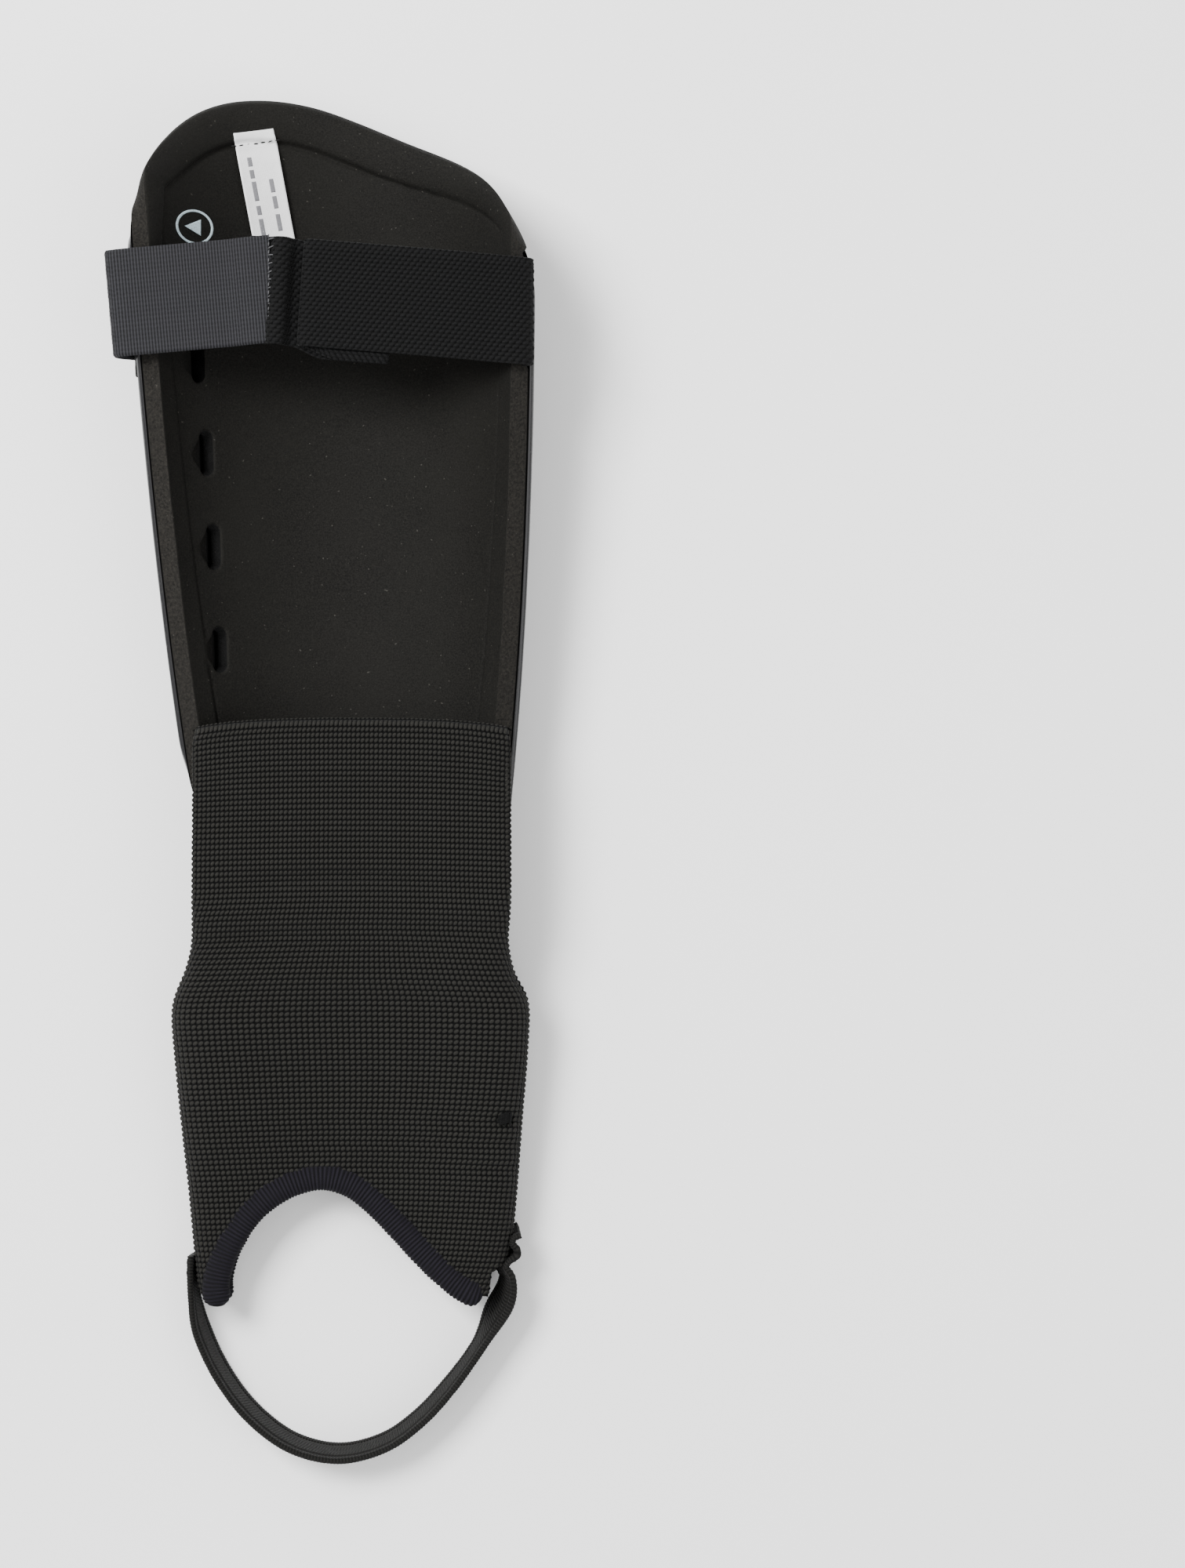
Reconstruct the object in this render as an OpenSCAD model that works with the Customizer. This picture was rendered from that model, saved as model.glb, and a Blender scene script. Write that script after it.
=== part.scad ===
// Ankle shin guard for the left leg, lying on the front of its shell.
// +Y is the knee end, +X the inner side of the leg, +Z the leg side.
// The origin is the centre of the bounding box, on the surface it lies on.

/* [Shell and liner] */
// Outer radius of the shell round the shin
shell_r = 62; // [60:0.5:66]
// Thickness of the shell wall
shell_t = 2.2; // [1.6:0.1:2.6]
// Thickness of the foam liner
foam_t = 5; // [4:0.5:6]
// Radius of the gentle lengthwise bow of shell and liner
bow_r = 1400; // [1200:50:2500]
// How far the liner stands past the shell along the top edge
top_overhang = 3; // [0:0.5:5]
// Width of each vent slot
vent_w = 5; // [3:0.5:6]
// Length of each vent slot
vent_len = 13; // [8:1:16]

/* [Calf strap] */
// Width of the strap
strap_w = 30; // [25:1:32]
// Thickness of the elastic and of the hook tape
strap_t = 1.5; // [1:0.1:1.6]
// Height of the underside of the strap over the floor
strap_z = 43.6; // [43.4:0.1:45]
// Length of the hook tab that wraps round the outer edge
tab_len = 30; // [20:1:32]

/* [Ankle sleeve] */
// Thickness of the knitted walls
knit_t = 2.4; // [1.6:0.1:2.6]
// Height of the calf side of the sleeve at the hinge line
sleeve_h = 32.6; // [32.4:0.1:34]
// Slope of the calf side, down towards the foot
sleeve_slope = 7; // [5:0.5:8]
// Thickness of the ankle pads
pad_t = 5; // [3:0.5:6]
// Thickness of the overlocked binding
binding_t = 3.4; // [2.8:0.1:4]

/* [Stirrup] */
// Width of the stirrup elastic, which stands on its edge
stirrup_w = 15; // [12:1:16]
// Thickness of the stirrup elastic
stirrup_t = 1.8; // [1.2:0.1:2]

/* [Hidden] */
$fn = 96;

foam_r = shell_r - shell_t;
liner_r = foam_r - foam_t;

// The shell's axis leans a little in plan and crosses y = 0 at axis_x.
axis_x = 7.2;
axis_lean = 1.74;
// The bow is lowest at bow_y and is swept through bow_sweep degrees.
bow_y = 85;
bow_sweep = 10;

// Liner outline in plan, from the top of the arch round by the inner side.
// Its long sides lie outside the side cuts, which shape them.
liner_points = [[-18, 195.2], [-5, 193.8], [8, 189.4], [24, 182.4], [38, 176.2],
                [47, 170], [53, 161], [58, 150], [62, 130], [62, 70], [61, 20],
                [55, -3], [49, -17], [38, -24], [22, -28], [6, -29], [-10, -27],
                [-23, -21], [-32, -11.5], [-38, 1], [-42, 14], [-48, 40],
                [-58, 100], [-57.5, 140], [-54, 158], [-48.5, 175], [-40, 187],
                [-30, 193.2]];

// Side cuts: a point on each long edge, and the turn of the cutting plane.
inner_cut_at = [55.8, 23, 25.8];
inner_cut_turn = [6.8, 28, 0];
outer_cut_at = [-42.8, 23, 25.8];
outer_cut_turn = [8, -28, 0];

// Vent slots down the outer side: angle round the shell and place along it
vents = [[-45.6, 122.3], [-43.4, 96], [-41.8, 69.3], [-40.6, 40.1]];

// Strap: hinge at the inner edge, folds of the pleat and seam with the tape
strap_pivot = [58.2, 0, strap_z - 1.6];
strap_mid_y = 133;
strap_skew = 4.5;
pleat_gap = 0.15;
pleat_left = -5;
pleat_right = 19.5;
elastic_end = -20;
tape_end = -13;
layer_h = strap_t + pleat_gap;

// Bend of the hook tab at the outer edge of the shell
tab_x = -57.4;
tab_angle = 25;
tab_face_x = -58.2;
tape_y = 135.2;
tape_rise = 3.9;

// Ends of the strap's tail between liner and shell, as angles round the shell
tail_angles = [48, 68];

// Loop patch: angles round the shell, places along it and thickness
patch_angles = [-64, -38];
patch_y = [117, 152];
patch_t = 1.2;

// Label: middle of its upper end, lean and size; mark: centre and radius
label_at = [-19, 186];
label_lean = 9;
label_size = [11.4, 40];
mark_at = [-36.6, 158.6];
mark_r = 4.9;
mark_line = 0.8;
mark_arrow = [[-2.4, 0], [1.4, 2.2], [1.4, -2.2]];

// Sleeve: hinge line and outline of its two sides from the hinge to the foot
hinge_y = -30;
sleeve_outer = [[-37, -30.1], [-37.2, -43], [-40, -51.5], [-43.6, -61], [-43.4, -72],
                [-41.6, -95], [-38.2, -128], [-37.8, -136], [-36.4, -143]];
sleeve_inner = [[51.6, -30.1], [51.2, -43], [53.4, -52.5], [57.2, -61], [57.2, -72],
                [55.6, -95], [52.7, -128], [50.6, -136], [46.4, -141.6]];
// Upper and lower edge of the binding round the arch at the foot
binding_top = [[-36.4, -143], [-32.4, -133.6], [-27, -124.2], [-18.5, -115.7],
               [-11, -110.4], [-1.3, -108.1], [7.2, -109.4], [15.7, -114.8],
               [24.2, -123.3], [33, -131.2], [46.4, -141.6]];
arch_edge = [[-35.4, -147], [-31, -149.6], [-27.2, -147], [-22.6, -133.4],
             [-13.4, -122.2], [-6, -117], [0.3, -114.9], [6, -117], [11.7, -122.2],
             [24.2, -133.4], [34.1, -144.6], [39.5, -149.6], [45.6, -148.6]];
sleeve_mid_x = 7.8;
cuff_half_w = 44.6;
cuff_top_y = 17;
hem = [72, 12, 1.2];
// Outline of the sleeve's shin side where it is sewn to the liner
cuff_front = [[-26, -24], [-33, -16], [-35.4, -8], [-35.4, 13], [50.4, 13],
              [50.4, -12], [44, -20], [36, -25], [6, -30], [-10, -29]];

// Ankle pads: how deep they and their linings lie behind the side walls, and
// the window along Y and Z that they fill
pad_in = knit_t + 0.1;
lining_in = pad_in + pad_t + 0.05;
lining_t = 1;
lining_grow = 3;
pad_y = [-122, -60];
pad_z = [3, 16.4];
pad_corner = 6;
pad_tack_at = [50.4, -95.5];
pad_tack_size = [4.8, 1.8, 0.6];

// Stirrup: middle line of the band, and the bar-tacks at its two ends
stirrup_line = [[-39.6, -133], [-39.6, -147], [-36, -162], [-28.5, -175],
                [-16, -187], [4, -194.6], [20, -189.6], [34, -177.6], [46, -163],
                [52.8, -152], [54.1, -146], [54.1, -133]];
tack = [0.6, 1.4, 9];
tack_y = [-137, -142];
tack_z = 3;

plan_h = 70;
big = 300;
foam_colour = [0.17, 0.17, 0.15];
knit_colour = [0.2, 0.2, 0.18];
band_colour = [0.13, 0.13, 0.14];
binding_colour = [0.14, 0.14, 0.19];

// A Catmull-Rom stretch between b and c, and curves through whole lists
function catmull(a, b, c, d, t) =
    0.5 * (2 * b + (c - a) * t + (2 * a - 5 * b + 4 * c - d) * t * t
           + (3 * b - 3 * c + d - a) * t * t * t);
function closed_curve(p, n = 4) =
    [for (i = [0:len(p) - 1]) for (k = [0:n - 1])
        catmull(p[(i + len(p) - 1) % len(p)], p[i], p[(i + 1) % len(p)],
                p[(i + 2) % len(p)], k / n)];
function open_curve(p, n = 4) =
    concat([for (i = [0:len(p) - 2]) for (k = [0:n - 1])
                catmull(p[max(i - 1, 0)], p[i], p[i + 1],
                        p[min(i + 2, len(p) - 1)], k / n)],
           [p[len(p) - 1]]);
function reversed(p) = [for (i = [len(p) - 1:-1:0]) p[i]];
function shifted(p, dx) = [for (q = p) [q[0] + dx, q[1]]];
function between_y(p, low, high) = [for (q = p) if (q[1] >= low && q[1] <= high) q];
// The line itself moved sideways by d, for the two faces of a band
function side_of(p, d) =
    [for (i = [0:len(p) - 1])
        let (run = p[min(i + 1, len(p) - 1)] - p[max(i - 1, 0)],
             unit = run / norm(run))
        p[i] + d * [-unit[1], unit[0]]];

// A tall prism over an outline, which cuts a piece to its shape in plan
module plan(points) {
    translate([0, 0, -1]) linear_extrude(height = plan_h) polygon(points);
}

// The lower half of a ring, r_in to r_out about the shell's axis, swept on the bow
module bowed_ring(r_in, r_out) {
    translate([axis_x, 0, 0]) rotate([0, 0, axis_lean])
    translate([0, bow_y, bow_r]) rotate([0, 90, 0]) rotate([0, 0, -bow_sweep / 2])
    rotate_extrude(angle = bow_sweep, $fn = 720)
    translate([bow_r - shell_r, 0]) intersection() {
        difference() {
            circle(r = r_out);
            circle(r = r_in);
        }
        translate([0, -shell_r - 5]) square([shell_r + 5, 2 * shell_r + 10]);
    }
}

// What the two slanting side cuts take away
module side_cuts() {
    translate(inner_cut_at) rotate(inner_cut_turn)
        translate([-big / 2, -big / 2, 0]) cube([big, big, 100]);
    translate(outer_cut_at) rotate(outer_cut_turn)
        translate([-big / 2, -big / 2, 0]) cube([big, big, 100]);
}

// A radial wedge of the shell's section, between two angles and two places
module wedge(angles, along) {
    steps = 6;
    reach = shell_r + 4;
    fan = [for (i = [0:steps])
              let (a = angles[0] + (angles[1] - angles[0]) * i / steps)
              reach * [sin(a), -cos(a)]];
    translate([axis_x, 0, shell_r]) rotate([0, 0, axis_lean])
    translate([0, along[1], 0]) rotate([90, 0, 0])
    linear_extrude(height = along[1] - along[0]) polygon(concat([[0, 0]], fan));
}

// Round-ended slots, punched towards the shell's axis
module vent_slots(width) {
    past = 8;
    punch_h = 24;
    for (v = vents)
        translate([axis_x, 0, shell_r]) rotate([0, 0, axis_lean])
        translate([0, v[1], 0]) rotate([0, -v[0], 0]) translate([0, 0, -shell_r - past]) {
            for (end = [-1, 1])
                translate([0, end * (vent_len - width) / 2, 0])
                cylinder(h = punch_h, d = width, $fn = 32);
            translate([-width / 2, -(vent_len - width) / 2, 0])
                cube([width, vent_len - width, punch_h]);
        }
}

// The strap's tail between liner and shell, or the space for it
module tail_blank(r_in, r_out, margin, slack) {
    half = strap_w / 2 + margin;
    intersection() {
        bowed_ring(r_in, r_out);
        wedge(tail_angles - [slack, 0], [strap_mid_y - half, strap_mid_y + half]);
    }
}

module shell() {
    color([0.05, 0.05, 0.055]) difference() {
        intersection() {
            bowed_ring(foam_r, shell_r);
            plan(closed_curve(liner_points));
            translate([0, -top_overhang, 0]) plan(closed_curve(liner_points));
        }
        side_cuts();
        vent_slots(vent_w - 1.5);
    }
}

module foam_backing() {
    color(foam_colour) difference() {
        intersection() {
            bowed_ring(liner_r, foam_r);
            plan(closed_curve(liner_points));
        }
        side_cuts();
        vent_slots(vent_w);
        tail_blank(foam_r - strap_t - 0.1, foam_r + 1, 0.3, 2);
    }
}

module loop_patch() {
    color(band_colour) intersection() {
        bowed_ring(shell_r, shell_r + patch_t);
        wedge(patch_angles, patch_y);
    }
}

module strap_anchor_tail() {
    color(band_colour) tail_blank(foam_r - strap_t - 0.05, foam_r - 0.05, 0, 0);
}

// A piece laid on the inner face of the liner, between two heights over it
module on_liner(low, high) {
    intersection() {
        bowed_ring(liner_r - high, liner_r - low);
        children();
    }
}

module size_label() {
    color([0.9, 0.9, 0.9]) on_liner(0, 0.4)
        translate([label_at[0], label_at[1], -1]) rotate([0, 0, label_lean])
        translate([-label_size[0] / 2, -label_size[1], 0])
        cube([label_size[0], label_size[1], plan_h]);
}

module label_stitching() {
    pitch = 2.4;
    stitch = [1.6, 0.5, plan_h];
    from_end = 4.5;
    color([0.08, 0.08, 0.08]) on_liner(0.4, 0.8)
        translate([label_at[0], label_at[1], -1]) rotate([0, 0, label_lean])
        for (i = [-2:2])
            translate([i * pitch - stitch[0] / 2, -from_end, 0]) cube(stitch);
}

// Plain ring with an arrowhead, which tells the left guard from the right one
module side_mark() {
    color([0.72, 0.8, 0.82]) on_liner(0, 0.25)
        translate([mark_at[0], mark_at[1], -1]) linear_extrude(height = plan_h) {
            difference() {
                circle(r = mark_r);
                circle(r = mark_r - mark_line);
            }
            polygon(mark_arrow);
        }
}

module sleeve_cuff_back() {
    color(knit_colour)
        translate([sleeve_mid_x - cuff_half_w, hinge_y + 0.1, sleeve_h - knit_t])
        cube([2 * cuff_half_w, cuff_top_y - hinge_y, knit_t]);
}

// The shin side of the sleeve's top, sewn to the inner face of the liner
module sleeve_cuff_front() {
    color(knit_colour) difference() {
        on_liner(0, knit_t) plan(cuff_front);
        side_cuts();
    }
}

module cuff_hem() {
    color(knit_colour)
        translate([sleeve_mid_x - hem[0] / 2, cuff_top_y - hem[1], sleeve_h - knit_t - hem[2]])
        cube(hem);
}

module sleeve_seam_stitching() {
    pitch = 5.4;
    stitch = [2.8, 0.7, plan_h];
    seam_y = 9;
    color([0.1, 0.1, 0.1]) on_liner(knit_t, knit_t + 0.5)
        for (i = [-6:6])
            translate([axis_x + i * pitch - stitch[0] / 2, seam_y, -1]) cube(stitch);
}

// Turns a piece from the strap's straight run to its slight skew in plan
module strap_turn() {
    translate([strap_pivot[0], strap_mid_y, 0]) rotate([0, 0, -strap_skew])
    translate([-strap_pivot[0], 0, 0]) children();
}

// One length of elastic with a Z-pleat, sewn down at the tape's end
module strap_elastic() {
    z1 = strap_z;
    z2 = z1 + layer_h;
    z3 = z2 + layer_h;
    slope_x = 30;
    leg_x = strap_pivot[0] - strap_t / 2;
    profile = [[elastic_end, z1], [pleat_right, z1], [pleat_right + 1.2, z1 + 1.2],
               [pleat_right + 1.2, z2 + 0.3], [pleat_right, z2 + strap_t],
               [pleat_left + 0.2, z2 + strap_t], [pleat_left + 0.2, z3],
               [slope_x, z3], [leg_x - 6, z1], [leg_x, z1 - 0.6],
               [leg_x, strap_pivot[2] + 0.3], [leg_x + strap_t, strap_pivot[2] + 0.3],
               [leg_x + strap_t, z1 + 0.4], [leg_x - 5.6, z1 + strap_t],
               [slope_x, z3 + strap_t], [pleat_left, z3 + strap_t],
               [pleat_left - 1.2, z3 + 0.3], [pleat_left - 1.2, z2 + 1.2],
               [pleat_left, z2], [pleat_right - 0.2, z2], [pleat_right - 0.2, z1 + strap_t],
               [elastic_end, z1 + strap_t]];
    color(band_colour) strap_turn()
        translate([0, strap_w / 2, 0]) rotate([90, 0, 0])
        linear_extrude(height = strap_w) polygon(profile);
}

// Plan of the hook tape: its outer end lies a little nearer the foot
module tape_plan() {
    plan([[tape_end, tape_y + tape_rise + strap_w / 2],
          [tab_x, tape_y + strap_w / 2],
          [tab_x, tape_y - strap_w / 2],
          [tape_end, tape_y + tape_rise - strap_w / 2]]);
}

module hook_tape() {
    z2 = strap_z + layer_h;
    color([0.28, 0.28, 0.3]) intersection() {
        tape_plan();
        translate([0, 200, 0]) rotate([90, 0, 0]) linear_extrude(height = 120)
            polygon([[tape_end + 1, z2], [elastic_end - 1, z2], [elastic_end - 6, strap_z],
                     [tab_x, strap_z], [tab_x, strap_z + strap_t],
                     [elastic_end - 6.4, strap_z + strap_t],
                     [elastic_end - 1.4, z2 + strap_t], [tape_end + 1, z2 + strap_t]]);
    }
}

module strap_seam_stitching() {
    rows = 12;
    pitch = 2.35;
    stitch = [2.6, 0.6, 0.4];
    from_end = 3.4;
    color([0.5, 0.5, 0.5])
        for (i = [0:rows - 1])
            translate([tape_end - from_end,
                       tape_y + tape_rise + (i - (rows - 1) / 2) * pitch,
                       strap_z + layer_h + strap_t])
            cube(stitch);
}

module hook_tab() {
    slant = [sin(tab_angle), -cos(tab_angle)];
    out = [-cos(tab_angle), -sin(tab_angle)];
    top = [tab_face_x, strap_z];
    tip = top + tab_len * slant;
    color([0.28, 0.28, 0.3])
        translate([0, tape_y + strap_w / 2, 0]) rotate([90, 0, 0])
        linear_extrude(height = strap_w)
        polygon([[tab_x, strap_z], top, tip, tip + strap_t * out,
                 top + strap_t * out, [tab_face_x - 1, strap_z + strap_t * 0.7],
                 [tab_x, strap_z + strap_t]]);
}

// The calf side of the sleeve: what lies within two depths under its slope
module calf_slab(top, bottom) {
    translate([0, hinge_y, sleeve_h]) rotate([sleeve_slope, 0, 0])
    translate([-big / 2, -200, -bottom]) cube([big, 260, bottom - top]);
}

module sleeve_plan() {
    plan(concat(open_curve(sleeve_outer), open_curve(binding_top),
                reversed(open_curve(sleeve_inner))));
}

// A strip that follows one side of the sleeve, between two depths from its edge
module side_strip(edge, low, high, y_low, y_high) {
    line = between_y(open_curve(edge), y_low, y_high);
    plan(concat(shifted(line, low), reversed(shifted(line, high))));
}

module sleeve_back_panel() {
    color(knit_colour) {
        intersection() {
            sleeve_plan();
            calf_slab(0, knit_t);
        }
        intersection() {
            union() {
                side_strip(sleeve_outer, 0, knit_t, -138, 0);
                side_strip(sleeve_inner, 0, -knit_t, -131, 0);
            }
            calf_slab(knit_t, 60);
            translate([-big / 2, -big / 2, knit_t]) cube([big, big, 60]);
        }
    }
}

module sleeve_front_panel() {
    color(knit_colour) intersection() {
        sleeve_plan();
        translate([-big / 2, -big / 2, 0]) cube([big, big, knit_t]);
    }
}

// Round-cornered outline of a pad seen from the side, run right across
module pad_window(along, up, r) {
    size = [along[1] - along[0], up[1] - up[0]];
    translate([-big / 2, 0, 0]) rotate([90, 0, 90]) linear_extrude(height = big) {
        translate([along[0] + r, up[0]]) square([size[0] - 2 * r, size[1]]);
        translate([along[0], up[0] + r]) square([size[0], size[1] - 2 * r]);
        for (y = [along[0] + r, along[1] - r], z = [up[0] + r, up[1] - r])
            translate([y, z]) circle(r = r);
    }
}

// An ankle pad, or the lining over it, behind one side wall of the sleeve
module ankle_layer(edge, side, low, high, grow) {
    past = 10;
    intersection() {
        side_strip(edge, side * low, side * high, pad_y[0] - past, pad_y[1] + past);
        pad_window(pad_y + grow * [-1, 1], pad_z + grow * [-0.1, 0.1], pad_corner);
    }
}

module inner_ankle_pad() {
    color(foam_colour) ankle_layer(sleeve_inner, -1, pad_in, pad_in + pad_t, 0);
}

module outer_ankle_pad() {
    color(foam_colour) ankle_layer(sleeve_outer, 1, pad_in, pad_in + pad_t, 0);
}

module inner_pad_lining() {
    color(knit_colour) ankle_layer(sleeve_inner, -1, lining_in, lining_in + lining_t,
                                   lining_grow);
}

module outer_pad_lining() {
    color(knit_colour) ankle_layer(sleeve_outer, 1, lining_in, lining_in + lining_t,
                                   lining_grow);
}

module binding_plan() {
    plan(concat(open_curve(binding_top), reversed(open_curve(arch_edge))));
}

module back_arch_binding() {
    proud = (binding_t - knit_t) / 2;
    color(binding_colour) intersection() {
        binding_plan();
        calf_slab(-proud, knit_t + proud);
    }
}

module front_arch_binding() {
    color(binding_colour) intersection() {
        binding_plan();
        translate([-big / 2, -big / 2, 0]) cube([big, big, binding_t]);
    }
}

module pad_tack() {
    color([0.06, 0.06, 0.06]) intersection() {
        translate([pad_tack_at[0] - pad_tack_size[0] / 2,
                   pad_tack_at[1] - pad_tack_size[1] / 2, 0])
            cube([pad_tack_size[0], pad_tack_size[1], plan_h]);
        calf_slab(-pad_tack_size[2], 0);
    }
}

module stirrup_band() {
    line = open_curve(stirrup_line);
    linear_extrude(height = stirrup_w)
        polygon(concat(side_of(line, stirrup_t / 2),
                       reversed(side_of(line, -stirrup_t / 2))));
}

module stirrup_strap() {
    color(band_colour) stirrup_band();
}

// Bar-tacks on the outer faces of the stirrup's two ends
module stirrup_stitching() {
    outer_end = stirrup_line[0][0];
    inner_end = stirrup_line[len(stirrup_line) - 1][0];
    color([0.06, 0.06, 0.06]) difference() {
        for (y = tack_y) {
            translate([outer_end - stirrup_t / 2 - tack[0], y - tack[1] / 2, tack_z])
                cube(tack);
            translate([inner_end + stirrup_t / 2, y - tack[1] / 2, tack_z])
                cube(tack);
        }
        stirrup_band();
    }
}

shell();
foam_backing();
loop_patch();
strap_anchor_tail();
size_label();
label_stitching();
side_mark();
sleeve_cuff_back();
sleeve_cuff_front();
cuff_hem();
sleeve_seam_stitching();
strap_elastic();
hook_tape();
strap_seam_stitching();
hook_tab();
sleeve_back_panel();
sleeve_front_panel();
inner_ankle_pad();
outer_ankle_pad();
inner_pad_lining();
outer_pad_lining();
back_arch_binding();
front_arch_binding();
pad_tack();
stirrup_strap();
stirrup_stitching();
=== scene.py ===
import bmesh
import bpy
import math
import numpy as np
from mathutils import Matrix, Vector, geometry


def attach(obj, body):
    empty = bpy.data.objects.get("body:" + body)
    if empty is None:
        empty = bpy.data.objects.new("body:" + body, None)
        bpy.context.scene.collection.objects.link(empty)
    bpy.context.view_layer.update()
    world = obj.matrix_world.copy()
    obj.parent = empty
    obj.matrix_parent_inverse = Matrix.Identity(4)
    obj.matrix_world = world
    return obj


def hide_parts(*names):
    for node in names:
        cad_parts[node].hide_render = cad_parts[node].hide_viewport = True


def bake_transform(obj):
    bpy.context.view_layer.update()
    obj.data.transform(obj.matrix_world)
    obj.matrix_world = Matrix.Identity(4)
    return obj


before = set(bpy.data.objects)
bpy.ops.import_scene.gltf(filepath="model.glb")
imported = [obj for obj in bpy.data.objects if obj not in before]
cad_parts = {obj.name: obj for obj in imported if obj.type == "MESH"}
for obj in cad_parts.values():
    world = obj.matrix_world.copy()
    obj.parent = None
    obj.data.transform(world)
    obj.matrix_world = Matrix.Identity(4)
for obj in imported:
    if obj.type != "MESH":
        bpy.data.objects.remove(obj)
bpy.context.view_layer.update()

# Lengths are millimetres until a mesh is made, in the frame of the CAD model.
MM = 0.001

# ---------------------------------------------------------------- camera and room
CAMERA_AT = (0.076, 0.00085, 1.4)
SENSOR = 36
LENS = 111.4
ROOM_LIGHT = 1.15
FLOOR_TONE = 0.96
FLOOR_GAP = 0.0003


def make_camera():
    camera = bpy.data.cameras.new("camera")
    camera.sensor_fit = "VERTICAL"
    camera.sensor_height = SENSOR
    camera.lens = LENS
    holder = bpy.data.objects.new("camera", camera)
    holder.location = CAMERA_AT
    bpy.context.scene.collection.objects.link(holder)
    bpy.context.scene.camera = holder


def make_light(name, at, size, power):
    """A square soft light at a place, turned to face the guard."""
    light = bpy.data.lights.new(name, "AREA")
    light.size = size
    light.energy = power
    holder = bpy.data.objects.new(name, light)
    holder.location = at
    holder.rotation_euler = (-Vector(at)).to_track_quat("-Z", "Y").to_euler()
    bpy.context.scene.collection.objects.link(holder)


def make_room():
    world = bpy.data.worlds.new("studio")
    world.use_nodes = True
    world.node_tree.nodes["Background"].inputs["Color"].default_value = (1, 1, 1, 1)
    world.node_tree.nodes["Background"].inputs["Strength"].default_value = ROOM_LIGHT
    bpy.context.scene.world = world
    make_light("key", (-0.65, 0.5, 1.3), 0.6, 44)
    make_light("fill", (0.9, -0.5, 1.3), 1.2, 8)
    floor_mesh = bpy.data.meshes.new("floor")
    floor_mesh.from_pydata([(-4, -4, 0), (4, -4, 0), (4, 4, 0), (-4, 4, 0)], [], [(0, 1, 2, 3)])
    floor = bpy.data.objects.new("floor", floor_mesh)
    floor.location.z = -FLOOR_GAP
    bpy.context.scene.collection.objects.link(floor)
    paint = bpy.data.materials.new("floor_paint")
    paint.use_nodes = True
    shader = paint.node_tree.nodes["Principled BSDF"]
    shader.inputs["Base Color"].default_value = (FLOOR_TONE, FLOOR_TONE, FLOOR_TONE, 1)
    shader.inputs["Roughness"].default_value = 0.6
    floor_mesh.materials.append(paint)


# ---------------------------------------------------------------- materials
def node(tree, kind, inputs=None, **settings):
    """A new shader node. Its inputs are values or other nodes' outputs."""
    made = tree.nodes.new("ShaderNode" + kind)
    for name, value in settings.items():
        setattr(made, name, value)
    for name, value in (inputs or {}).items():
        socket = made.inputs[name]
        if isinstance(value, bpy.types.NodeSocket):
            tree.links.new(value, socket)
        else:
            socket.default_value = value
    return made


def math_node(operation, *values):
    """An arithmetic node's output, in the tree of the outputs that go into it."""
    tree = next(value.id_data for value in values if isinstance(value, bpy.types.NodeSocket))
    return node(tree, "Math", dict(enumerate(values)), operation=operation).outputs[0]


def plus(first, second):
    return math_node("ADD", first, second)


def minus(first, second):
    return math_node("SUBTRACT", first, second)


def times(first, second):
    return math_node("MULTIPLY", first, second)


def mixed(factor, first, second):
    """One colour mixed into another. Each is an output or three numbers."""
    inputs = {"Factor": factor}
    for index, colour in ((6, first), (7, second)):
        inputs[index] = colour if isinstance(colour, bpy.types.NodeSocket) else (*colour, 1)
    return node(factor.id_data, "Mix", inputs, data_type="RGBA").outputs[2]


def band(value, low, high):
    """The value stretched so that low to high becomes 0 to 1."""
    return node(value.id_data, "MapRange", {"Value": value, "From Min": low, "From Max": high}).outputs[0]


def wave(count, phase=0.0):
    """A wave from 0 to 1 that repeats once for each whole number of a count."""
    turned = times(plus(count, phase), 2 * math.pi)
    return math_node("MULTIPLY_ADD", math_node("SINE", turned), 0.5, 0.5)


def grey(level):
    return (level, level, level)


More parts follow.
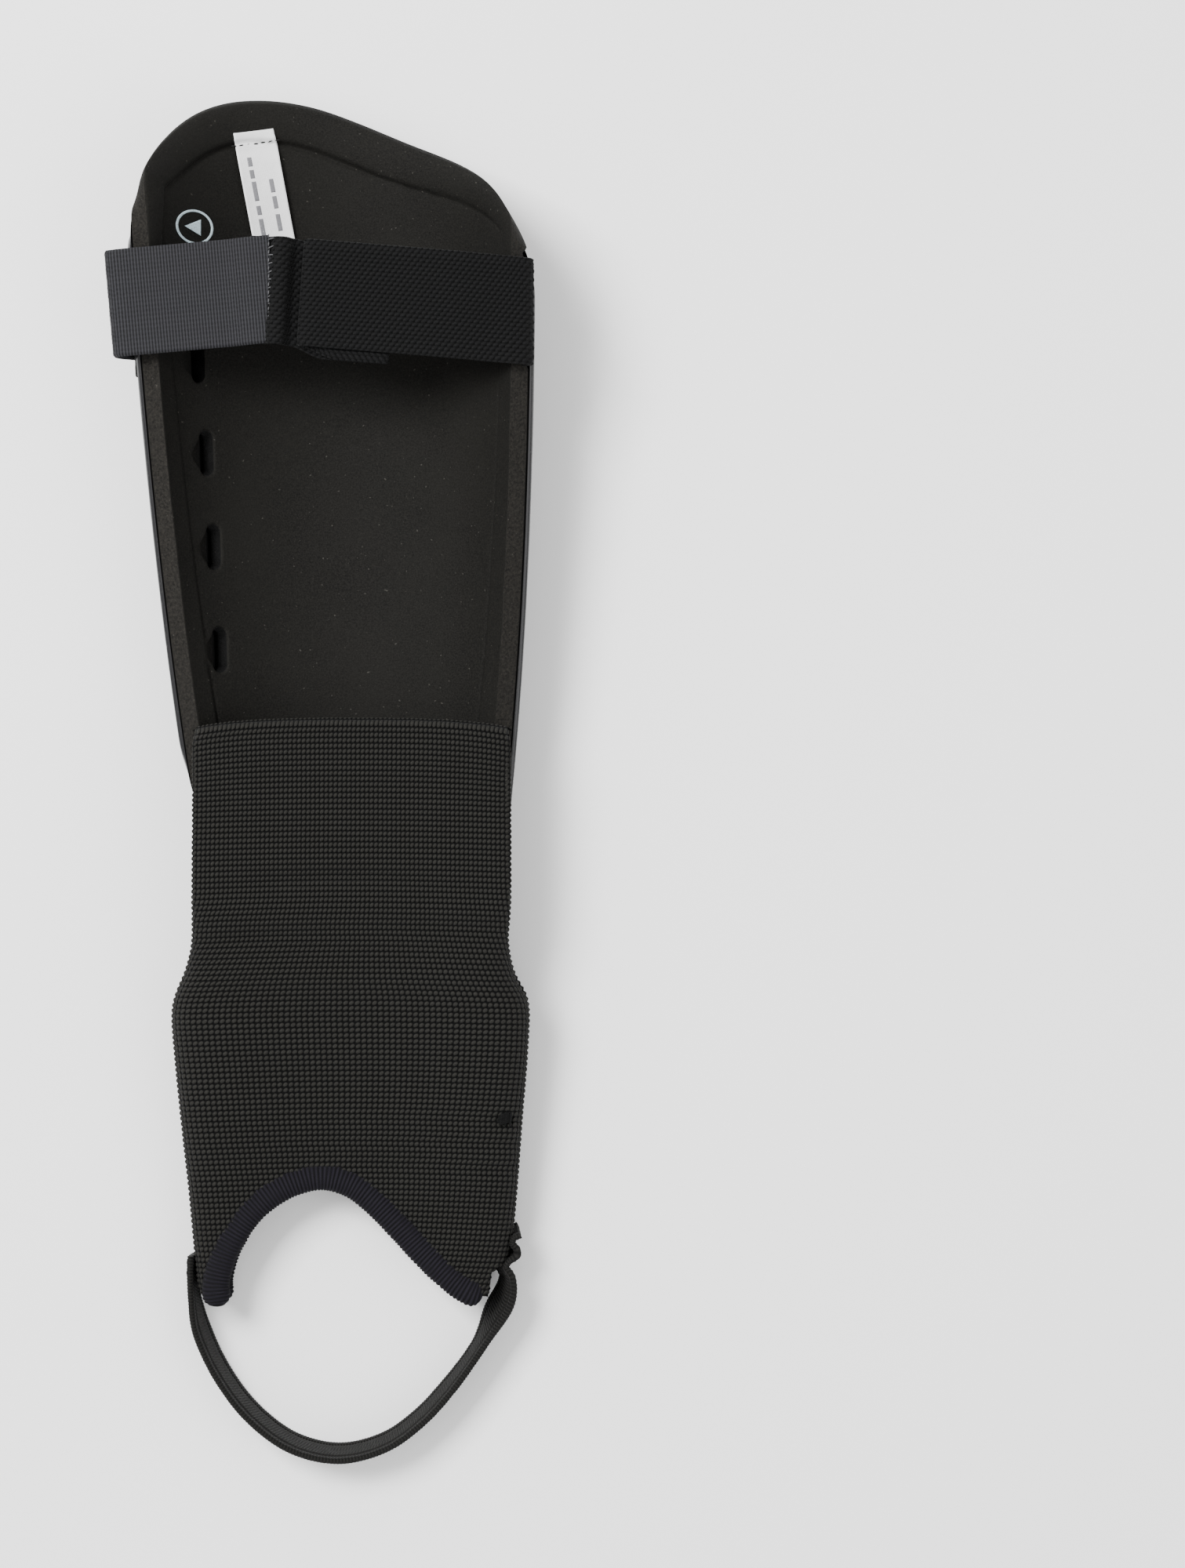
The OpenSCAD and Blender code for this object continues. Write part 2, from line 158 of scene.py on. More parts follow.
class Finish:
    """A material with its shader, its place in the object and noises of a size in mm."""

    def __init__(self, name, roughness, specular=0.5, **sockets):
        self.material = bpy.data.materials.new(name)
        self.material.use_nodes = True
        self.tree = self.material.node_tree
        self.shader = self.tree.nodes["Principled BSDF"]
        self.shader.inputs["Roughness"].default_value = roughness
        self.shader.inputs["Specular IOR Level"].default_value = specular
        for socket, value in sockets.items():
            self.shader.inputs[socket.replace("_", " ")].default_value = value
        self.place = node(self.tree, "TexCoord").outputs["Object"]

    def noise(self, size, detail=2.0, rough=0.5, place=None):
        return node(self.tree, "TexNoise", {"Vector": place or self.place, "Scale": 1 / (size * MM),
                                            "Detail": detail, "Roughness": rough}).outputs[0]

    def cells(self, size):
        return node(self.tree, "TexVoronoi", {"Vector": self.place,
                                              "Scale": 1 / (size * MM)}).outputs["Distance"]

    def value(self, attribute):
        return node(self.tree, "Attribute", attribute_name=attribute).outputs["Fac"]

    def weave(self):
        """Thread counts along and across a woven or knitted piece."""
        split = node(self.tree, "SeparateXYZ",
                     {0: node(self.tree, "UVMap", uv_map="weave").outputs[0]})
        return split.outputs[0], split.outputs[1]

    def oval(self, stagger, half_along, half_across, slant):
        """Squared distance from the middle of the nearest stitch, 1 at the edge of its oval.
        Stitches sit one to each whole number of the weave, staggered from row to row."""
        along, across = self.weave()
        a = minus(math_node("FRACT", plus(along, times(math_node("FLOOR", across), stagger))), 0.5)
        b = minus(minus(math_node("FRACT", across), 0.5), times(a, slant))
        a, b = math_node("DIVIDE", a, half_along), math_node("DIVIDE", b, half_across)
        return plus(times(a, a), times(b, b))

    def link(self, value, socket):
        self.tree.links.new(value, self.shader.inputs[socket])

    def finished(self, colour, *layers):
        """The material with its colour and its bumps, each a height and its depth in mm."""
        self.link(colour, "Base Color")
        below = None
        for height, depth in layers:
            inputs = {"Height": height, "Distance": depth * MM, "Strength": 1.0}
            if below:
                inputs["Normal"] = below
            below = node(self.tree, "Bump", inputs).outputs[0]
        self.link(below, "Normal")
        return self.material


def foam_finish():
    """Moulded EVA with fine speckle, a rougher, browner face where it was cut, and painted near-black shade
    on the walls of its vent slots.
    """
    made = Finish("eva_foam", 0.8, 0.12)
    fine, patches, cut = made.noise(0.45, 4, 0.75), made.noise(28, 3), made.value("cut")
    skin = mixed(band(fine, 0.36, 0.64), (0.0018, 0.0017, 0.0014), (0.0098, 0.0093, 0.008))
    skin = mixed(times(band(patches, 0.35, 0.7), 0.35), skin, (0.0098, 0.0093, 0.0078))
    raw = mixed(band(made.noise(0.7, 5, 0.8), 0.35, 0.65), (0.0024, 0.0022, 0.0019),
                (0.022, 0.02, 0.017))
    # A value below 0 marks the liner's slot walls: painted shade, near black, stands in for the dark inside
    # the slots.
    body = mixed(band(cut, 0.0, -1.0), mixed(cut, skin, raw), grey(0.0005))
    dust = band(made.noise(0.9, 1, 0.3), 0.76, 0.8)
    return made.finished(mixed(times(dust, 0.3), body, (0.09, 0.085, 0.075)),
                         (made.noise(0.6, 4, 0.7), 0.16), (times(made.noise(0.9, 5, 0.8), cut), 0.5))


def shell_finish():
    """Glossy black plastic with faint ripples and fine scuffs, dull where it was cut, and painted near black
    as shade on its slot walls and inner face.
    """
    made = Finish("gloss_shell", 0.16, Coat_Roughness=0.1)
    cut = made.value("cut")
    stretched = node(made.tree, "Mapping", {"Vector": made.place, "Scale": (1, 0.12, 1)}).outputs[0]
    scuff = band(made.noise(0.35, 3, 0.7, stretched), 0.58, 0.74)
    face = mixed(times(scuff, 0.18), (0.0065, 0.0065, 0.0075), (0.06, 0.06, 0.062))
    made.link(math_node("MULTIPLY_ADD", cut, -0.32, 0.34), "Specular IOR Level")
    made.link(math_node("MULTIPLY_ADD", cut, -0.15, 0.15), "Coat Weight")
    made.link(plus(times(scuff, 0.22), math_node("MULTIPLY_ADD", cut, 0.5, 0.24)), "Roughness")
    # Where the value is 1 (slot walls, inner face) the colour goes near black: painted shade inside the
    # slots.
    return made.finished(mixed(cut, face, grey(0.0006)), (made.noise(6, 2), 0.12), (scuff, 0.015))


def knit_finish():
    """Thick elastic knit: slanted oval stitches in rows, with painted black shade in the gaps between them.
    """
    made = Finish("knit", 0.88, 0.1, Sheen_Weight=0.03, Sheen_Roughness=0.4)
    oval, fibre = made.oval(0.0, 0.47, 0.42, 0.3), made.noise(0.22, 3, 0.7)
    # Painted shade: black where the stitches' bumps are lowest, between them.
    gap = band(plus(oval, times(fibre, 0.35)), 0.7, 1.25)
    yarn = mixed(band(fibre, 0.3, 0.7), (0.0066, 0.0064, 0.0058), (0.0285, 0.0276, 0.0246))
    yarn = mixed(times(band(made.noise(9, 3), 0.4, 0.7), 0.35), yarn, (0.0185, 0.018, 0.016))
    return made.finished(mixed(gap, yarn, grey(0.0008)), (oval, -0.3), (fibre, 0.12))


def loop_finish():
    """Brushed loop pile: short curled fibres with painted dark shade in the pits between them."""
    made = Finish("loop_pile", 0.86, 0.14, Sheen_Weight=0.06, Sheen_Roughness=0.4)
    cells = made.cells(0.7)
    # Painted shade: dark where the pile's bump is lowest, in the pits.
    pit = band(plus(cells, made.noise(0.3, 3, 0.7)), 0.55, 1.2)
    return made.finished(mixed(pit, (0.022, 0.022, 0.023), grey(0.002)),
                         (cells, -0.22), (made.noise(0.22, 3, 0.7), 0.1))


def elastic_finish():
    """Knitted elastic: staggered bumps with small holes painted black as shade, fine crimped threads over
    all.
    """
    made = Finish("loop_elastic", 0.8, 0.1, Sheen_Weight=0.02, Sheen_Roughness=0.4)
    oval, fibre = made.oval(0.5, 0.5, 0.46, 0.5), made.noise(0.24, 3, 0.7)
    # Painted shade: black where the bumps are lowest, as in the holes.
    gap = band(plus(oval, times(fibre, 1.6)), 1.3, 2.3)
    yarn = mixed(band(fibre, 0.3, 0.7), (0.001, 0.001, 0.0011), (0.009, 0.009, 0.0093))
    return made.finished(mixed(gap, yarn, grey(0.0007)), (oval, -0.25), (fibre, 0.12))


def ribbed_finish(name, dark, pale):
    """Woven tape or thread: pale ribs with painted shade in the dark grooves, fine threads over both."""
    made = Finish(name, 0.72, 0.1, Sheen_Weight=0.03, Sheen_Roughness=0.4)
    along, across = made.weave()
    rib, thread = wave(along, 0.25), wave(across)
    grain = times(made.noise(0.3, 3, 0.7), math_node("MULTIPLY_ADD", thread, 0.3, 0.9))
    # Pale on the rib tops and dark in the grooves: painted highlight and shade along the ribs.
    level = plus(times(rib, 0.6), times(grain, 0.6))
    return made.finished(mixed(band(level, 0.2, 1.0), dark, pale),
                         (thread, 0.05), (made.noise(0.2, 3, 0.7), 0.07))


def thread_finish(name, dark, pale):
    made = Finish(name, 0.75, 0.1, Sheen_Weight=0.02)
    return made.finished(mixed(band(made.noise(0.3, 3, 0.7), 0.35, 0.65), dark, pale),
                         (made.noise(0.18, 3, 0.7), 0.06))


def satin_finish():
    made = Finish("white_satin", 0.42, 0.5, Sheen_Weight=0.15)
    along, across = made.weave()
    threads = times(wave(along), wave(across))
    return made.finished(mixed(times(threads, 0.4), grey(0.8), grey(0.62)),
                         (threads, 0.03), (made.noise(5, 2), 0.25))


def print_finish(name, ink, worn, coverage):
    """Printed ink with tiny gaps, where the ground shows through."""
    made = Finish(name, 0.55, 0.4)
    gaps = band(made.noise(0.4, 4, 0.8), coverage, coverage + 0.06)
    return made.finished(mixed(gaps, ink, worn), (made.noise(0.3, 2), 0.04))


def pad_finish():
    made = Finish("soft_pad_foam", 0.9, 0.25)
    cells = made.cells(0.9)
    # Darker at the middle of each cell, where the bump is lowest: painted shade in the pores.
    return made.finished(mixed(band(cells, 0.1, 0.6), (0.008, 0.008, 0.007), (0.04, 0.039, 0.036)),
                         (cells, 0.25))


# ---------------------------------------------------------------- meshes
def add_mesh(name, points, faces, material, weave=None, **values):
    """A smooth mesh object from points in mm, lists of faces, and values for each point."""
    points = np.asarray(points, float).reshape(-1, 3)
    faces = [np.asarray(f).reshape(len(f), -1) for f in faces if len(f)]
    corners = np.concatenate([f.ravel() for f in faces])
    used, corners = np.unique(corners, return_inverse=True)
    corners = corners.ravel()
    sizes = np.concatenate([np.full(len(f), f.shape[1]) for f in faces])
    mesh = bpy.data.meshes.new(name)
    mesh.vertices.add(len(used))
    mesh.vertices.foreach_set("co", (points[used] * MM).ravel())
    mesh.loops.add(len(corners))
    mesh.loops.foreach_set("vertex_index", corners.astype(np.int32))
    mesh.polygons.add(len(sizes))
    mesh.polygons.foreach_set("loop_start", np.concatenate([[0], np.cumsum(sizes)[:-1]]).astype(np.int32))
    mesh.polygons.foreach_set("use_smooth", np.ones(len(sizes), bool))
    mesh.update(calc_edges=True)
    if weave is not None:
        layer = mesh.uv_layers.new(name="weave")
        layer.data.foreach_set("uv", np.asarray(weave, float).reshape(-1, 2)[used][corners].ravel())
    for key, value in values.items():
        layer = mesh.attributes.new(key, "FLOAT", "POINT")
        layer.data.foreach_set("value", np.asarray(value, float).ravel()[used])
    mesh.validate()
    shape = bmesh.new()
    shape.from_mesh(mesh)
    bmesh.ops.recalc_face_normals(shape, faces=shape.faces)
    shape.to_mesh(mesh)
    shape.free()
    mesh.materials.append(material)
    made = bpy.data.objects.new(name, mesh)
    bpy.context.scene.collection.objects.link(made)
    return made


def tube_faces(index):
    """Quads between neighbours in a table of point numbers, joined round its columns."""
    index = np.hstack([index, index[:, :1]])
    return np.stack([index[:-1, :-1], index[:-1, 1:], index[1:, 1:], index[1:, :-1]], -1).reshape(-1, 4)


def tube(rows, columns, start=0):
    return tube_faces(start + np.arange(rows * columns).reshape(rows, columns))


def cloth_faces(keep):
    """Quads of a closed sheet: two grids, of the cells that are kept, and the walls between."""
    rows, columns = keep.shape[0] + 1, keep.shape[1] + 1
    index = np.arange(rows * columns).reshape(rows, columns)
    corner = [index[:-1, :-1], index[:-1, 1:], index[1:, 1:], index[1:, :-1]]
    top = np.stack(corner, -1)[keep]
    faces = [top, top[:, ::-1] + rows * columns]
    padded = np.pad(keep, 1)
    beside = [padded[:-2, 1:-1], padded[1:-1, 2:], padded[2:, 1:-1], padded[1:-1, :-2]]
    for side in range(4):
        edge = keep & ~beside[side]
        a, b = corner[side][edge], corner[(side + 1) % 4][edge]
        faces.append(np.stack([b, a, a + rows * columns, b + rows * columns], -1))
    return faces


def cloth(name, top, bottom, material, weave=None, keep=None):
    """A closed sheet between two grids of points, over the cells that are kept."""
    if keep is None:
        keep = np.ones((top.shape[0] - 1, top.shape[1] - 1), bool)
    weave = None if weave is None else np.stack([weave, weave])
    return add_mesh(name, np.stack([top, bottom]), cloth_faces(keep), material, weave=weave)


def unit(vectors):
    return vectors / np.maximum(np.linalg.norm(vectors, axis=-1, keepdims=True), 1e-9)


def grid_normals(points):
    """Unit normals of a grid of points."""
    return unit(np.cross(np.gradient(points, axis=1), np.gradient(points, axis=0)))


def lengths(path):
    """Length along a path to each of its points."""
    return np.concatenate([[0], np.cumsum(np.linalg.norm(np.diff(path, axis=0), axis=1))])


def at_lengths(path, wanted):
    """Points of a path at lengths along it."""
    along = lengths(path)
    return np.stack([np.interp(wanted, along, path[:, k]) for k in range(path.shape[1])], 1)


def curve(points, spacing, closed=False):
    """A smooth curve through a few points, resampled at an even spacing."""
    p = np.asarray(points, float)
    if closed:
        p = np.vstack([p[-1:], p, p[:2]])
    else:
        p = np.vstack([2 * p[0] - p[1], p, 2 * p[-1] - p[-2]])
    t = np.linspace(0, 1, 24, endpoint=False)[:, None]
    runs = []
    for a, b, c, d in zip(p[:-3], p[1:-2], p[2:-1], p[3:]):
        runs.append(0.5 * (2 * b + (c - a) * t + (2 * a - 5 * b + 4 * c - d) * t * t
                           + (3 * b - 3 * c + d - a) * t ** 3))
    dense = np.vstack(runs + [p[-2:-1]])
    whole = lengths(dense)[-1]
    made = at_lengths(dense, np.linspace(0, whole, max(int(round(whole / spacing)), 2) + 1))
    return made[:-1] if closed else made


def circle(sides):
    """Angles of evenly spaced points round a circle."""
    return np.linspace(0, 2 * np.pi, sides, endpoint=False)


def smooth_step(x, low, high):
    t = np.clip((x - low) / (high - low), 0, 1)
    return t * t * (3 - 2 * t)


def rounded_edge(share, least):
    """Height of a quarter circle, from its foot at 0 to its top at 1 and beyond."""
    return np.sqrt(np.clip(1 - (1 - np.clip(share, 0, 1)) ** 2, least, 1))


def bump_at(x, centre, width):
    return np.exp(-((x - centre) / width) ** 2)


def soft_noise(x, y, seed):
    """Smooth repeatable noise from -1 to 1, with features one unit wide."""
    xi, yi = np.floor(x), np.floor(y)
    xf, yf = x - xi, y - yi

    def corner(a, b):
        h = np.sin(a * 127.1 + b * 311.7 + seed * 74.7) * 43758.5453
        return 2 * (h - np.floor(h)) - 1
    sx, sy = xf * xf * (3 - 2 * xf), yf * yf * (3 - 2 * yf)
    low = corner(xi, yi) * (1 - sx) + corner(xi + 1, yi) * sx
    high = corner(xi, yi + 1) * (1 - sx) + corner(xi + 1, yi + 1) * sx
    return low * (1 - sy) + high * sy


def stitches(name, ends, radius, material):
    """Short round-ended threads, each between two points, as one mesh."""
    rings, sides = 6, 8
    points, quads, triangles = [], [], []
    turn = circle(sides)
    place = np.linspace(0, 1, rings)
    swell = np.sqrt(np.clip(1 - (2 * place - 1) ** 4, 0.04, 1))
    for a, b in ends:
        a, b = np.asarray(a, float), np.asarray(b, float)
        run = unit(b - a)
        side = unit(np.cross(run, (0.1, 0.2, 1)))
        up = np.cross(side, run)
        ring = np.cos(turn)[:, None] * side + np.sin(turn)[:, None] * up
        body = a + (b - a) * place[:, None, None] + radius * swell[:, None, None] * ring
        body = body + up * (radius * 0.8 * np.sin(np.pi * place))[:, None, None]
        start = sum(len(p) for p in points)
        points.append(np.vstack([body.reshape(-1, 3), [a, b]]))
        quads.append(tube(rings, sides, start))
        for tip, first in ((rings * sides, 0), (rings * sides + 1, (rings - 1) * sides)):
            near = first + np.arange(sides)
            triangles.append(start + np.stack([near, np.roll(near, -1), np.full(sides, tip)], -1))
    return add_mesh(name, np.vstack(points), [np.vstack(quads), np.vstack(triangles)], material)


def ribbon(name, path, across, width, thickness, material, columns, relief, pitch, under=None,
           round_edge=0.5):
    """A closed band along a path. relief(s, w) is how far its upper face stands out, in mm."""
    across = unit(across)
    up = unit(np.cross(unit(np.gradient(path, axis=0)), across))
    w = np.linspace(-width / 2, width / 2, columns)
    near_edge = np.clip((width / 2 - np.abs(w)) / round_edge, 0, 1)
    swell = thickness / 2 * rounded_edge(near_edge, 0.02)
    s_grid, w_grid = np.meshgrid(lengths(path), w, indexing="ij")
    middle = path[:, None] + across[:, None] * w[None, :, None]
    bottom = under(s_grid, w_grid) if under else 0
    above = middle + up[:, None] * (swell + relief(s_grid, w_grid) * near_edge)[..., None]
    below = middle - up[:, None] * (swell + bottom * near_edge)[..., None]
    return cloth(name, above, below, material, np.stack([s_grid / pitch[0], w_grid / pitch[1]], -1))


def roll(name, path, across, half_wide, half_thick, material, sides, relief, pitch, taper):
    """A closed roll along a path, an ellipse in section, with round ends."""
    across = unit(across)
    up = unit(np.cross(unit(np.gradient(path, axis=0)), across))
    s = lengths(path)
    swell = rounded_edge(np.minimum(s, s[-1] - s) / taper, 0.0004)
    turn = circle(sides)
    s_grid, turn_grid = np.meshgrid(s, turn, indexing="ij")
    extra = relief(s_grid, turn_grid)
    wide = (half_wide + extra) * np.cos(turn_grid) * swell[:, None]
    thick = (half_thick + extra) * np.sin(turn_grid) * swell[:, None]
    points = path[:, None] + across[:, None] * wide[..., None] + up[:, None] * thick[..., None]
    weave = np.stack([s_grid / pitch[0], turn_grid * half_wide / pitch[1]], -1)
    count = len(path)
    caps = [np.arange(sides)[::-1][None], (count - 1) * sides + np.arange(sides)[None]]
    return add_mesh(name, points, [tube(count, sides)] + caps, material, weave=weave)


# ---------------------------------------------------------------- shell and liner
SHELL_R = 62.0
FOAM_R = 59.8
LINER_R = 54.8
BOW_R = 1400.0
BOW_Y = 85.0
AXIS_X = 7.2
AXIS_LEAN = math.radians(1.74)
TOP_OVERHANG = 3.0
# Outline in plan, from the top of the arch round by the inner side
OUTLINE = curve([(-18, 195.2), (-5, 193.8), (8, 189.4), (24, 182.4), (38, 176.2), (47, 170),
                 (53, 161), (58, 150), (62, 130), (62, 70), (61, 20), (55, -3), (49, -17),
                 (38, -24), (22, -28), (6, -29), (-10, -27), (-23, -21), (-32, -11.5), (-38, 1),
                 (-42, 14), (-48, 40), (-58, 100), (-57.5, 140), (-54, 158), (-48.5, 175),
                 (-40, 187), (-30, 193.2)], 2.0, closed=True)
# Side cuts: a point on each long edge, and the outward normal of the cutting plane
SIDE_CUTS = (((55.8, 23, 25.8), (0.4662, -0.1184, 0.8767)),
             ((-42.8, 23, 25.8), (-0.4649, -0.1392, 0.8743)))
# Vent slots: angle round the shell and place along it
VENTS = ((-45.6, 122.3), (-43.4, 96), (-41.8, 69.3), (-40.6, 40.1))
VENT_LENGTH = 13.0
SLOT_W = 5.0
SHELL_SLOT_W = 3.5
SLOT_HALF_RUN = (VENT_LENGTH - SLOT_W) / 2
# Rays that look for an edge, their reach and halvings, and how often its corners are eased
EDGE_RAYS = 1440
EDGE_REACH = 170.0
HALVINGS = 24
EASINGS = 6
# Points round an edge and a slot, the mesh's step inside them, and its rings round each slot
EDGE_POINTS = 430
SLOT_SIDES = 36
FIELD_STEP = 2.3
SLOT_RINGS = (0.25, 0.55, 1.0, 1.7, 2.6)
SLOT_CLEAR = 3.4
# Rows of mesh across a plate's edge walls, as shares of the way from its inner to its outer face
WALL_ROWS = (0.05, 0.18, 0.36, 0.5, 0.64, 0.82, 0.95)
# Places whose distance to an edge is worked out at a time
BATCH = 2000
# The strap's tail goes between liner and shell here: middle along the shell, and least angle
TAIL_Y = 133.0
TAIL_ANGLE = 46.0


def on_shell(u, v, radius):
    """Points of the bowed shell at a radius. u runs round it, in mm at the liner's inner face,
    and v along its axis."""
    theta = u / LINER_R
    ring = BOW_R - SHELL_R + radius * np.cos(theta)
    x = radius * np.sin(theta)
    z = BOW_R - np.sqrt(ring ** 2 - (v - BOW_Y) ** 2)
    return np.stack([AXIS_X + x * math.cos(AXIS_LEAN) - v * math.sin(AXIS_LEAN),
                     x * math.sin(AXIS_LEAN) + v * math.cos(AXIS_LEAN), z], -1)


def off_axis(x, y):
    """Distance to the side of the shell's axis and distance along it, at a place in plan."""
    return ((x - AXIS_X) * math.cos(AXIS_LEAN) + y * math.sin(AXIS_LEAN),
            y * math.cos(AXIS_LEAN) - (x - AXIS_X) * math.sin(AXIS_LEAN))


def liner_height(x, y, radius=LINER_R):
    """Height of the shell's curve of that radius at a place in plan."""
    side, v = off_axis(x, y)
    drop = np.sqrt(np.clip(radius ** 2 - side ** 2, 1, None))
    return BOW_R - np.sqrt((BOW_R - SHELL_R + drop) ** 2 - (v - BOW_Y) ** 2)


def in_outline(x, y, outline):
    px, py = outline[:, 0], outline[:, 1]
    qx, qy = np.roll(px, -1), np.roll(py, -1)
    crosses = (py > y[..., None]) != (qy > y[..., None])
    at = px + (y[..., None] - py) * (qx - px) / np.where(qy == py, 1e-9, qy - py)
    return (crosses & (x[..., None] < at)).sum(-1) % 2 == 1


def in_plate(u, v, radius, back):
    """Whether places lie inside the outline and under both side cuts."""
    at = on_shell(u, v, radius)
    inside = in_outline(at[..., 0], at[..., 1], OUTLINE)
    inside &= in_outline(at[..., 0], at[..., 1] + back, OUTLINE)
    for point, normal in SIDE_CUTS:
        inside &= (at - np.array(point)) @ np.array(normal) < 0
    return inside


def find_edge(angles, radius, back):
    """Where rays from the middle of the plate meet its edge, as places (u, v)."""
    low, high = np.zeros(len(angles)), np.full(len(angles), EDGE_REACH)
    for _ in range(HALVINGS):
        middle = (low + high) / 2
        inside = in_plate(middle * np.cos(angles), BOW_Y + middle * np.sin(angles), radius, back)
        low, high = np.where(inside, middle, low), np.where(inside, high, middle)
    return np.stack([low * np.cos(angles), BOW_Y + low * np.sin(angles)], -1)


def edge_loops(radii, back):
    """The edge at two radii, with points that pair up and its corners eased."""
    first = find_edge(circle(EDGE_RAYS), radii[0], back)
    closed = np.vstack([first, first[:1]])
    even = at_lengths(closed, np.linspace(0, lengths(closed)[-1], EDGE_POINTS, endpoint=False))
    angles = np.arctan2(even[:, 1] - BOW_Y, even[:, 0])
    loops = []
    for radius in radii:
        loop = find_edge(angles, radius, back)
        for _ in range(EASINGS):
            loop = (np.roll(loop, 1, axis=0) + 2 * loop + np.roll(loop, -1, axis=0)) / 4
        loops.append(loop)
    return loops


def loop_normals(loop):
    """Outward normals of an edge loop that runs anticlockwise."""
    run = unit(np.roll(loop, -1, axis=0) - np.roll(loop, 1, axis=0))
    return np.stack([run[:, 1], -run[:, 0]], -1)


def distance_to(points, loop):
    """Least distance of each place to a closed loop."""
    a, b = loop, np.roll(loop, -1, axis=0)
    run = b - a
    best = np.full(len(points), 1e9)
    for start in range(0, len(points), BATCH):
        part = points[start:start + BATCH, None]
        t = np.clip(((part - a) * run).sum(-1) / (run ** 2).sum(-1), 0, 1)
        gap = np.linalg.norm(part - (a + run * t[..., None]), axis=-1)
        best[start:start + BATCH] = gap.min(1)
    return best


def slot_distance(points, centre):
    """Distance to the middle line of a slot."""
    rest = np.abs(points - np.array(centre))
    rest[:, 1] = np.maximum(rest[:, 1] - SLOT_HALF_RUN, 0)
    return np.linalg.norm(rest, axis=1)


def slot_ring(centre, width):
    """A round-ended slot's outline, anticlockwise."""
    turn = circle(SLOT_SIDES)
    x = width / 2 * np.cos(turn)
    y = width / 2 * np.sin(turn) + np.sign(np.sin(turn)) * SLOT_HALF_RUN
    return np.array(centre) + np.stack([x, y], -1)


def plate_face(loop, centres, slot_width, crease_at, fine):
    """Triangles over one face of a plate: its places, faces, and the indices of its loops."""
    points, loops = [loop], [np.arange(len(loop))]
    for centre in centres:
        start = sum(len(p) for p in points)
        points.append(slot_ring(centre, slot_width))
        loops.append(start + np.arange(len(points[-1])))
    reach = crease_at(loop[:, 1])
    outward = loop_normals(loop)
    rings = np.vstack([loop - outward * (share * reach)[:, None] for share in fine])
    wanted = np.concatenate([share * reach for share in fine])
    rings = rings[distance_to(rings, loop) > 0.93 * wanted - 0.01]
    low, high = loop.min(0), loop.max(0)
    gu, gv = np.meshgrid(np.arange(low[0], high[0], FIELD_STEP), np.arange(low[1], high[1], FIELD_STEP))
    inner = np.stack([gu.ravel(), gv.ravel()], -1)
    deep = distance_to(inner, loop) > max(fine) * crease_at(inner[:, 1]) + 1.2
    inner = inner[deep & in_outline(inner[:, 0], inner[:, 1], loop)]
    free = np.vstack([rings, inner])
    for centre in centres:
        free = free[slot_distance(free, centre) > slot_width / 2 + SLOT_CLEAR]
        free = np.vstack([free] + [slot_ring(centre, slot_width + 2 * gap) for gap in SLOT_RINGS])
    points = np.vstack(points + [free])
    edges = [(int(r[i]), int(r[(i + 1) % len(r)])) for r in loops for i in range(len(r))]
    found = geometry.delaunay_2d_cdt([Vector(p) for p in points], edges, [], 1, 1e-6)
    origin = [o[0] for o in found[3]]
    faces = np.array([[origin[i] for i in f] for f in found[2]])
    middle = points[faces].mean(1)
    keep = np.ones(len(faces), bool)
    for centre in centres:
        keep &= slot_distance(middle, centre) > slot_width / 2 - 0.02
    return points, faces[keep], loops


def bowed_plate(name, material, radii, back, slot_width, crease_at, fine, relief_in, relief_out, bulge,
                rim_cut, slot_cut, hidden=0.0):
    """A closed curved plate with vent slots, from the liner's side to its outer side."""
    loop_in, loop_out = edge_loops(radii, back)
    centres = [(LINER_R * math.radians(angle), y) for angle, y in VENTS]
    inner = plate_face(loop_in, centres, slot_width * LINER_R / radii[0], crease_at, fine)
    outer = plate_face(loop_out, centres, slot_width * LINER_R / radii[1], crease_at, fine)
    points, faces, cut, rims = [], [], [], []
    for (places, triangles, loops), loop, radius, relief, side in (
            (inner, loop_in, radii[0], relief_in, -1), (outer, loop_out, radii[1], relief_out, 1)):
        gap = distance_to(places, loop)
        to_slot = np.min([slot_distance(places, c) - slot_width / 2 for c in centres], axis=0)
        height = relief(places[:, 0], places[:, 1], gap, to_slot)
        start = sum(len(p) for p in points)
        points.append(on_shell(places[:, 0], places[:, 1], radius + side * height))
        faces.append(start + (triangles if side < 0 else triangles[:, ::-1]))
        cut.append(np.full(len(places), hidden if side < 0 else 0.0))
        rims.append([(start + ring, places[ring], (radius + side * height)[ring]) for ring in loops])
    walls = []
    for number, (first, last) in enumerate(zip(*rims)):
        rows = [first[0]]
        for share in WALL_ROWS:
            place = first[1] * (1 - share) + last[1] * share
            radius = first[2] * (1 - share) + last[2] * share
            if number == 0:
                out = bulge(place[:, 1]) * math.sin(math.pi * share)
                place = place + loop_normals(place) * out[:, None]
            start = sum(len(p) for p in points)
            points.append(on_shell(place[:, 0], place[:, 1], radius))
            # Slot walls take the slot value, which the finishes paint near black as shade inside the slots.
            cut.append(rim_cut(place[:, 1]) if number == 0 else np.full(len(place), slot_cut))
            rows.append(start + np.arange(len(place)))
        walls.append(tube_faces(np.stack(rows + [last[0]])))
    return add_mesh(name, np.vstack(points), [np.vstack(faces), np.vstack(walls)], material,
                    cut=np.concatenate(cut))


def slot_rounding(to_slot, reach, depth):
    t = np.clip(1 - to_slot / reach, 0, 1)
    return -depth * (1 - np.sqrt(1 - t * t * 0.98))


def liner_crease(v):
    """How far inside the edge the moulded crease runs: wide at the top, narrow down the sides."""
    return 7.6 + 3.4 * smooth_step(v, 152, 176)


